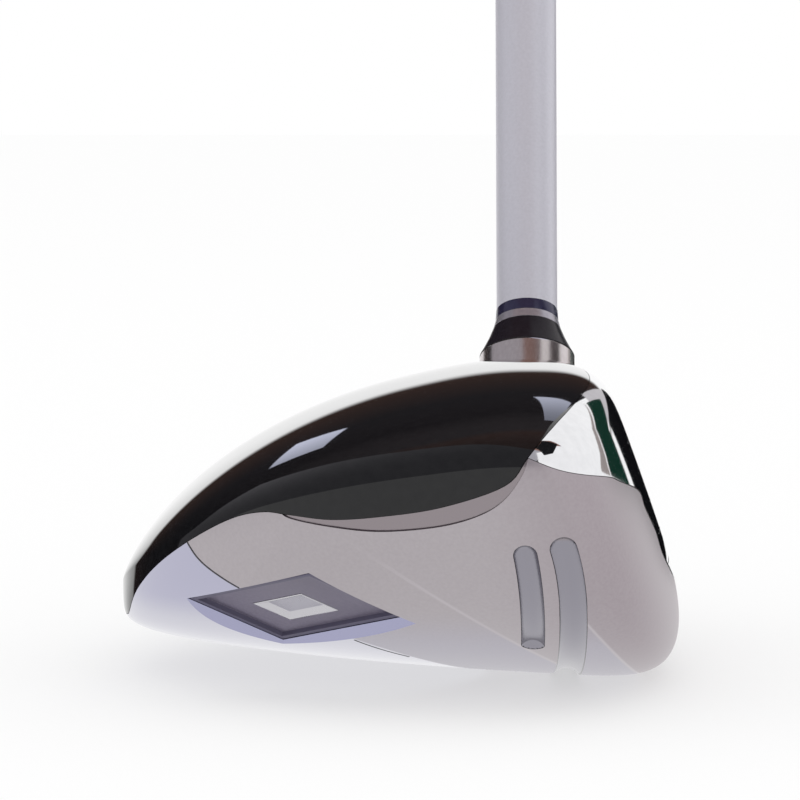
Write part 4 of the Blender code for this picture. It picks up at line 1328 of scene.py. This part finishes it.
# The grip's taper from mouth to end, in millimetres, and the room it leaves for the tape
GRIP_STATIONS = 25
GRIP_START = 1.2 * MM
GRIP_END = 5.1 * MM
GRIP_MOUTH_RADIUS = 9.9
GRIP_SWELL = 3.4
GRIP_CURVE = 1.25
TAPE_ROOM = 0.6 * MM
# Rounded lip of the grip: radius, and height above the mouth, in millimetres
LIP_ROWS = [(8.7, 0.0), (9.25, 0.12), (9.65, 0.45)]
# Outside of the end cap: radius, and depth below the butt, in millimetres
CAP_ROWS = [(13.3, 5.0), (13.9, 1.5), (13.75, 0.85), (13.3, 0.35), (12.4, 0.02), (1.2, 0.02), (1.2, 10.0)]
CAP_FOOT = 5.0 * MM
PLUG_LENGTH = 5.0 * MM
PLUG_FIT = 0.1 * MM


class CLUB_OT_grip(bpy.types.Operator):
    """Model the rubber grip and its end cap"""

    bl_idname = "club.grip"
    bl_label = "Grip"

    def execute(self, context):
        neck = context.scene.club_neck
        colour = context.scene.club_colours.grip_rubber
        mouth = neck.grip_mouth
        butt = neck.club_length
        end = butt - GRIP_END
        outside = [(radius * MM, mouth + height * MM) for radius, height in LIP_ROWS]
        for height in np.linspace(mouth + GRIP_START, end, GRIP_STATIONS):
            share = (float(height) - mouth) / (end - mouth)
            outside.append(((GRIP_MOUTH_RADIUS + GRIP_SWELL * share ** GRIP_CURVE) * MM, float(height)))
        bore = shaft_radius(end) + TAPE_ROOM
        inside = [(bore, end), (shaft_radius(mouth) + TAPE_ROOM, mouth)]
        sleeve = turned("grip_rubber_sleeve", outside + inside)
        dress(sleeve, finish("grip_rubber", colour), "grip_rubber", "grip_sleeve")
        sleeve.visible_glossy = False
        foot = butt - CAP_FOOT
        plug = [(bore - PLUG_FIT, foot - PLUG_LENGTH), (bore - PLUG_FIT, foot)]
        cap = turned("grip_end_cap", [(radius * MM, butt - depth * MM) for radius, depth in CAP_ROWS] + plug)
        dress(cap, finish("grip_rubber", colour), "grip_rubber", "grip_cap")
        cap.visible_glossy = False
        return {"FINISHED"}


# Finish and colour of each piece that keeps its CAD shape
INSIDE_FINISHES = {
    "sole_weight": ("cast_weight", (0.22, 0.22, 0.23)),
    "tip_plug": ("turned_brass", (0.60, 0.42, 0.16)),
    "tip_cork": ("pressed_cork", (0.30, 0.18, 0.09)),
    "grip_tape": ("paper_tape", (0.66, 0.58, 0.40)),
}


class CLUB_OT_inside(bpy.types.Operator):
    """Finish the pieces inside the club, which keep their CAD shapes"""

    bl_idname = "club.inside"
    bl_label = "Inside pieces"

    def execute(self, context):
        for name, (kind, colour) in INSIDE_FINISHES.items():
            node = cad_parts[name]
            node.data.materials.clear()
            node.data.materials.append(finish(kind, colour))
            node.visible_glossy = False
        return {"FINISHED"}


# Studio cards that show only in reflections: colour, strength and corners in millimetres
WHITE = (1.0, 1.0, 1.0)
LAVENDER = (0.74, 0.77, 0.95)
CARDS = [
    ("softbox_left", LAVENDER, 1.4, [
        (-472, 1309, 544), (-290, 1407, 368), (-237, 1396, 444), (-370, 1308, 617),
    ]),
    ("softbox_right", LAVENDER, 1.3, [
        (41, 1377, 524), (259, 1335, 574), (318, 1096, 959), (114, 1119, 980),
    ]),
    ("bright_wall", WHITE, 1.0, [
        (306, 1415, 189), (1458, 293, 32), (1116, 214, 996), (716, 292, 1304),
        (393, 353, 1423), (120, 297, 1487), (217, 993, 1093),
    ]),
    ("side_card", WHITE, 1.0, [
        (-5, -147, 30), (82, -97, 30), (81, 5, 30), (29, -44, 124), (17, -69, 125), (-5, -97, 117),
    ]),
    ("strip_right", WHITE, 0.8, [(992, -906, 632), (1315, -370, 632), (662, -158, 1394), (499, -429, 1394)]),
    ("canopy", (0.95, 0.93, 1.0), 0.42, [
        (5, -110, 180), (-190, 190, 180), (-2500, 190, 180), (5, -2500, 180),
    ]),
    ("beige_flag", (0.34, 0.30, 0.29), 1.0, [
        (65, 244, 127), (135, 212, 121), (176, 192, 85), (208, 166, 69),
        (179, 196, 57), (165, 205, 71), (132, 217, 110),
    ]),
    ("green_flag", (0.006, 0.03, 0.02), 1.0, [
        (69, 246, 121), (131, 219, 107), (161, 208, 69), (176, 199, 56),
        (118, 241, 32), (115, 242, 41), (108, 244, 65), (68, 264, 79),
    ]),
    ("black_flag", (0.004, 0.004, 0.005), 1.0, [(28, 170, 50), (67, 160, 54), (73, 163, 1), (28, 174, 1)]),
    ("grey_card", (0.56, 0.54, 0.56), 1.0, [(52, 303, 57), (111, 287, 57), (107, 278, 122), (51, 292, 122)]),
    ("notch_flag", (0.01, 0.01, 0.011), 1.0, [
        (-3, -35, 91), (20, -37, 84), (18, -70, 80), (1, -87, 79), (-8, -60, 92),
    ]),
]
# Tones of the world in reflections, by height: sine of the angle above the horizon
CEILING_TONES = [
    (0.0, WHITE), (0.075, WHITE), (0.10, (0.04, 0.024, 0.02)), (0.28, (0.02, 0.018, 0.02)),
    (0.5, (0.03, 0.024, 0.026)), (0.78, (0.15, 0.125, 0.13)), (0.85, (0.27, 0.155, 0.125)),
]
FLOOR_SIZE = 60.0
FLOOR_TONE = (0.97, 0.97, 0.97, 1.0)
FLOOR_GLOW = 0.5
LAMP_PLACE = (0.0, -0.3, 1.8)
LAMP_SIZE = 1.6
LAMP_ENERGY = 1.5
SENSOR_WIDTH = 36.0
CLIP_START = 0.01
PICTURE = 800


class CLUB_OT_stage(bpy.types.Operator):
    """Lay the floor, hang the light and set up the picture's camera"""

    bl_idname = "club.stage"
    bl_label = "Stage"

    def execute(self, context):
        self.floor()
        for sizes in CARDS:
            self.card(*sizes)
        self.lamp()
        self.world(context)
        self.camera(context)
        context.scene.view_settings.view_transform = "Standard"
        return {"FINISHED"}

    def floor(self):
        """A pale floor that takes the club's shadow and shows plain white in polished metal."""
        clear_selection()
        bpy.ops.mesh.primitive_plane_add(size=FLOOR_SIZE)
        floor = added("floor")
        material, tree, shader = node_material("floor")
        shader.inputs["Base Color"].default_value = FLOOR_TONE
        shader.inputs["Roughness"].default_value = 1.0
        shader.inputs["Specular IOR Level"].default_value = 0.0
        light_path = tree.nodes.new("ShaderNodeLightPath")
        white = tree.nodes.new("ShaderNodeEmission")
        mix = tree.nodes.new("ShaderNodeMixShader")
        share = tree.nodes.new("ShaderNodeMath")
        share.operation = "MULTIPLY_ADD"
        share.inputs[1].default_value = FLOOR_GLOW
        tree.links.new(light_path.outputs["Is Camera Ray"], share.inputs[0])
        tree.links.new(light_path.outputs["Is Glossy Ray"], share.inputs[2])
        tree.links.new(share.outputs["Value"], mix.inputs["Fac"])
        tree.links.new(shader.outputs["BSDF"], mix.inputs[1])
        tree.links.new(white.outputs["Emission"], mix.inputs[2])
        tree.links.new(mix.outputs["Shader"], tree.nodes["Material Output"].inputs["Surface"])
        floor.data.materials.append(material)

    def card(self, name, colour, strength, corners):
        """A studio card seen only in reflections."""
        clear_selection()
        bpy.ops.mesh.primitive_circle_add(vertices=len(corners), radius=1.0, fill_type="NGON")
        card = added(name)
        for vertex, corner in zip(card.data.vertices, corners):
            vertex.co = Vector(corner) * MM
        card.visible_camera = False
        card.visible_diffuse = False
        card.visible_shadow = False
        card.visible_transmission = False
        material, _, shader = node_material(name)
        shader.inputs["Base Color"].default_value = (0.0, 0.0, 0.0, 1.0)
        shader.inputs["Specular IOR Level"].default_value = 0.0
        shader.inputs["Emission Color"].default_value = (*colour, 1.0)
        shader.inputs["Emission Strength"].default_value = strength
        card.data.materials.append(material)

    def lamp(self):
        """A large soft lamp overhead."""
        clear_selection()
        bpy.ops.object.light_add(type="AREA", location=LAMP_PLACE)
        lamp = added("overhead")
        lamp.data.size = LAMP_SIZE
        lamp.data.energy = LAMP_ENERGY
        lamp.visible_glossy = False

    def world(self, context):
        """White all round; in reflections, white up to a low horizon and a dark ceiling above."""
        world = bpy.data.worlds.new("studio")
        world.use_nodes = True
        tree = world.node_tree
        place = tree.nodes.new("ShaderNodeTexCoord")
        split = tree.nodes.new("ShaderNodeSeparateXYZ")
        ramp = tree.nodes.new("ShaderNodeValToRGB")
        light_path = tree.nodes.new("ShaderNodeLightPath")
        mix = tree.nodes.new("ShaderNodeMix")
        mix.data_type = "RGBA"
        tree.links.new(place.outputs["Generated"], split.inputs["Vector"])
        tree.links.new(split.outputs["Z"], ramp.inputs["Fac"])
        while len(ramp.color_ramp.elements) < len(CEILING_TONES):
            ramp.color_ramp.elements.new(1.0)
        for element, (height, tone) in zip(ramp.color_ramp.elements, CEILING_TONES):
            element.position = height
            element.color = (*tone, 1.0)
        tree.links.new(light_path.outputs["Is Glossy Ray"], mix.inputs["Factor"])
        mix.inputs["A"].default_value = (*WHITE, 1.0)
        tree.links.new(ramp.outputs["Color"], mix.inputs["B"])
        tree.links.new(mix.outputs["Result"], tree.nodes["Background"].inputs["Color"])
        context.scene.world = world

    def camera(self, context):
        """The picture's camera, aimed so that the point of rest falls on its pixel."""
        stage = context.scene.club_stage
        data = bpy.data.cameras.new("picture")
        data.lens = stage.focal
        data.sensor_width = SENSOR_WIDTH
        data.clip_start = CLIP_START
        camera = bpy.data.objects.new("picture", data)
        context.scene.collection.objects.link(camera)
        forward = Vector((0.0, math.cos(stage.elevation), -math.sin(stage.elevation)))
        upward = Vector((0.0, math.sin(stage.elevation), math.cos(stage.elevation)))
        pixel = data.sensor_width / data.lens / PICTURE * stage.distance
        across = (stage.origin_u - PICTURE / 2) * pixel
        above = (PICTURE / 2 - stage.origin_v) * pixel
        camera.location = -(forward * stage.distance + Vector((across, 0.0, 0.0)) + upward * above)
        camera.rotation_euler = (math.pi / 2 - stage.elevation, 0.0, 0.0)
        context.scene.camera = camera


class CLUB_PT_panel(bpy.types.Panel):
    """Lists the steps that dress the club"""

    bl_idname = "CLUB_PT_panel"
    bl_label = "Golf club"
    bl_space_type = "VIEW_3D"
    bl_region_type = "UI"
    bl_category = "Golf club"

    def draw(self, context):
        for step in STEPS:
            self.layout.operator(step)


STEPS = ("club.stage", "club.head", "club.badge", "club.neck", "club.shaft", "club.grip", "club.inside")
GROUPS = (HeadSizes, BadgeSizes, NeckSizes, StageSizes, FinishColours)
OPERATORS = (
    CLUB_OT_stage, CLUB_OT_head, CLUB_OT_badge, CLUB_OT_neck, CLUB_OT_shaft, CLUB_OT_grip, CLUB_OT_inside,
)
CLASSES = GROUPS + OPERATORS + (CLUB_PT_panel,)


def register():
    """Register the classes and hang the settings on the scene."""
    for cls in CLASSES:
        bpy.utils.register_class(cls)
    bpy.types.Scene.club_head = PointerProperty(type=HeadSizes)
    bpy.types.Scene.club_badge = PointerProperty(type=BadgeSizes)
    bpy.types.Scene.club_neck = PointerProperty(type=NeckSizes)
    bpy.types.Scene.club_stage = PointerProperty(type=StageSizes)
    bpy.types.Scene.club_colours = PointerProperty(type=FinishColours)


def unregister():
    """Take the settings and the classes away again."""
    del bpy.types.Scene.club_colours
    del bpy.types.Scene.club_stage
    del bpy.types.Scene.club_neck
    del bpy.types.Scene.club_badge
    del bpy.types.Scene.club_head
    for cls in reversed(CLASSES):
        bpy.utils.unregister_class(cls)


def main():
    """Dress the club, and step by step."""
    register()
    bpy.ops.club.stage()
    bpy.ops.club.head()
    bpy.ops.club.badge()
    bpy.ops.club.neck()
    bpy.ops.club.shaft()
    bpy.ops.club.grip()
    bpy.ops.club.inside()


if __name__ == "__main__":
    main()
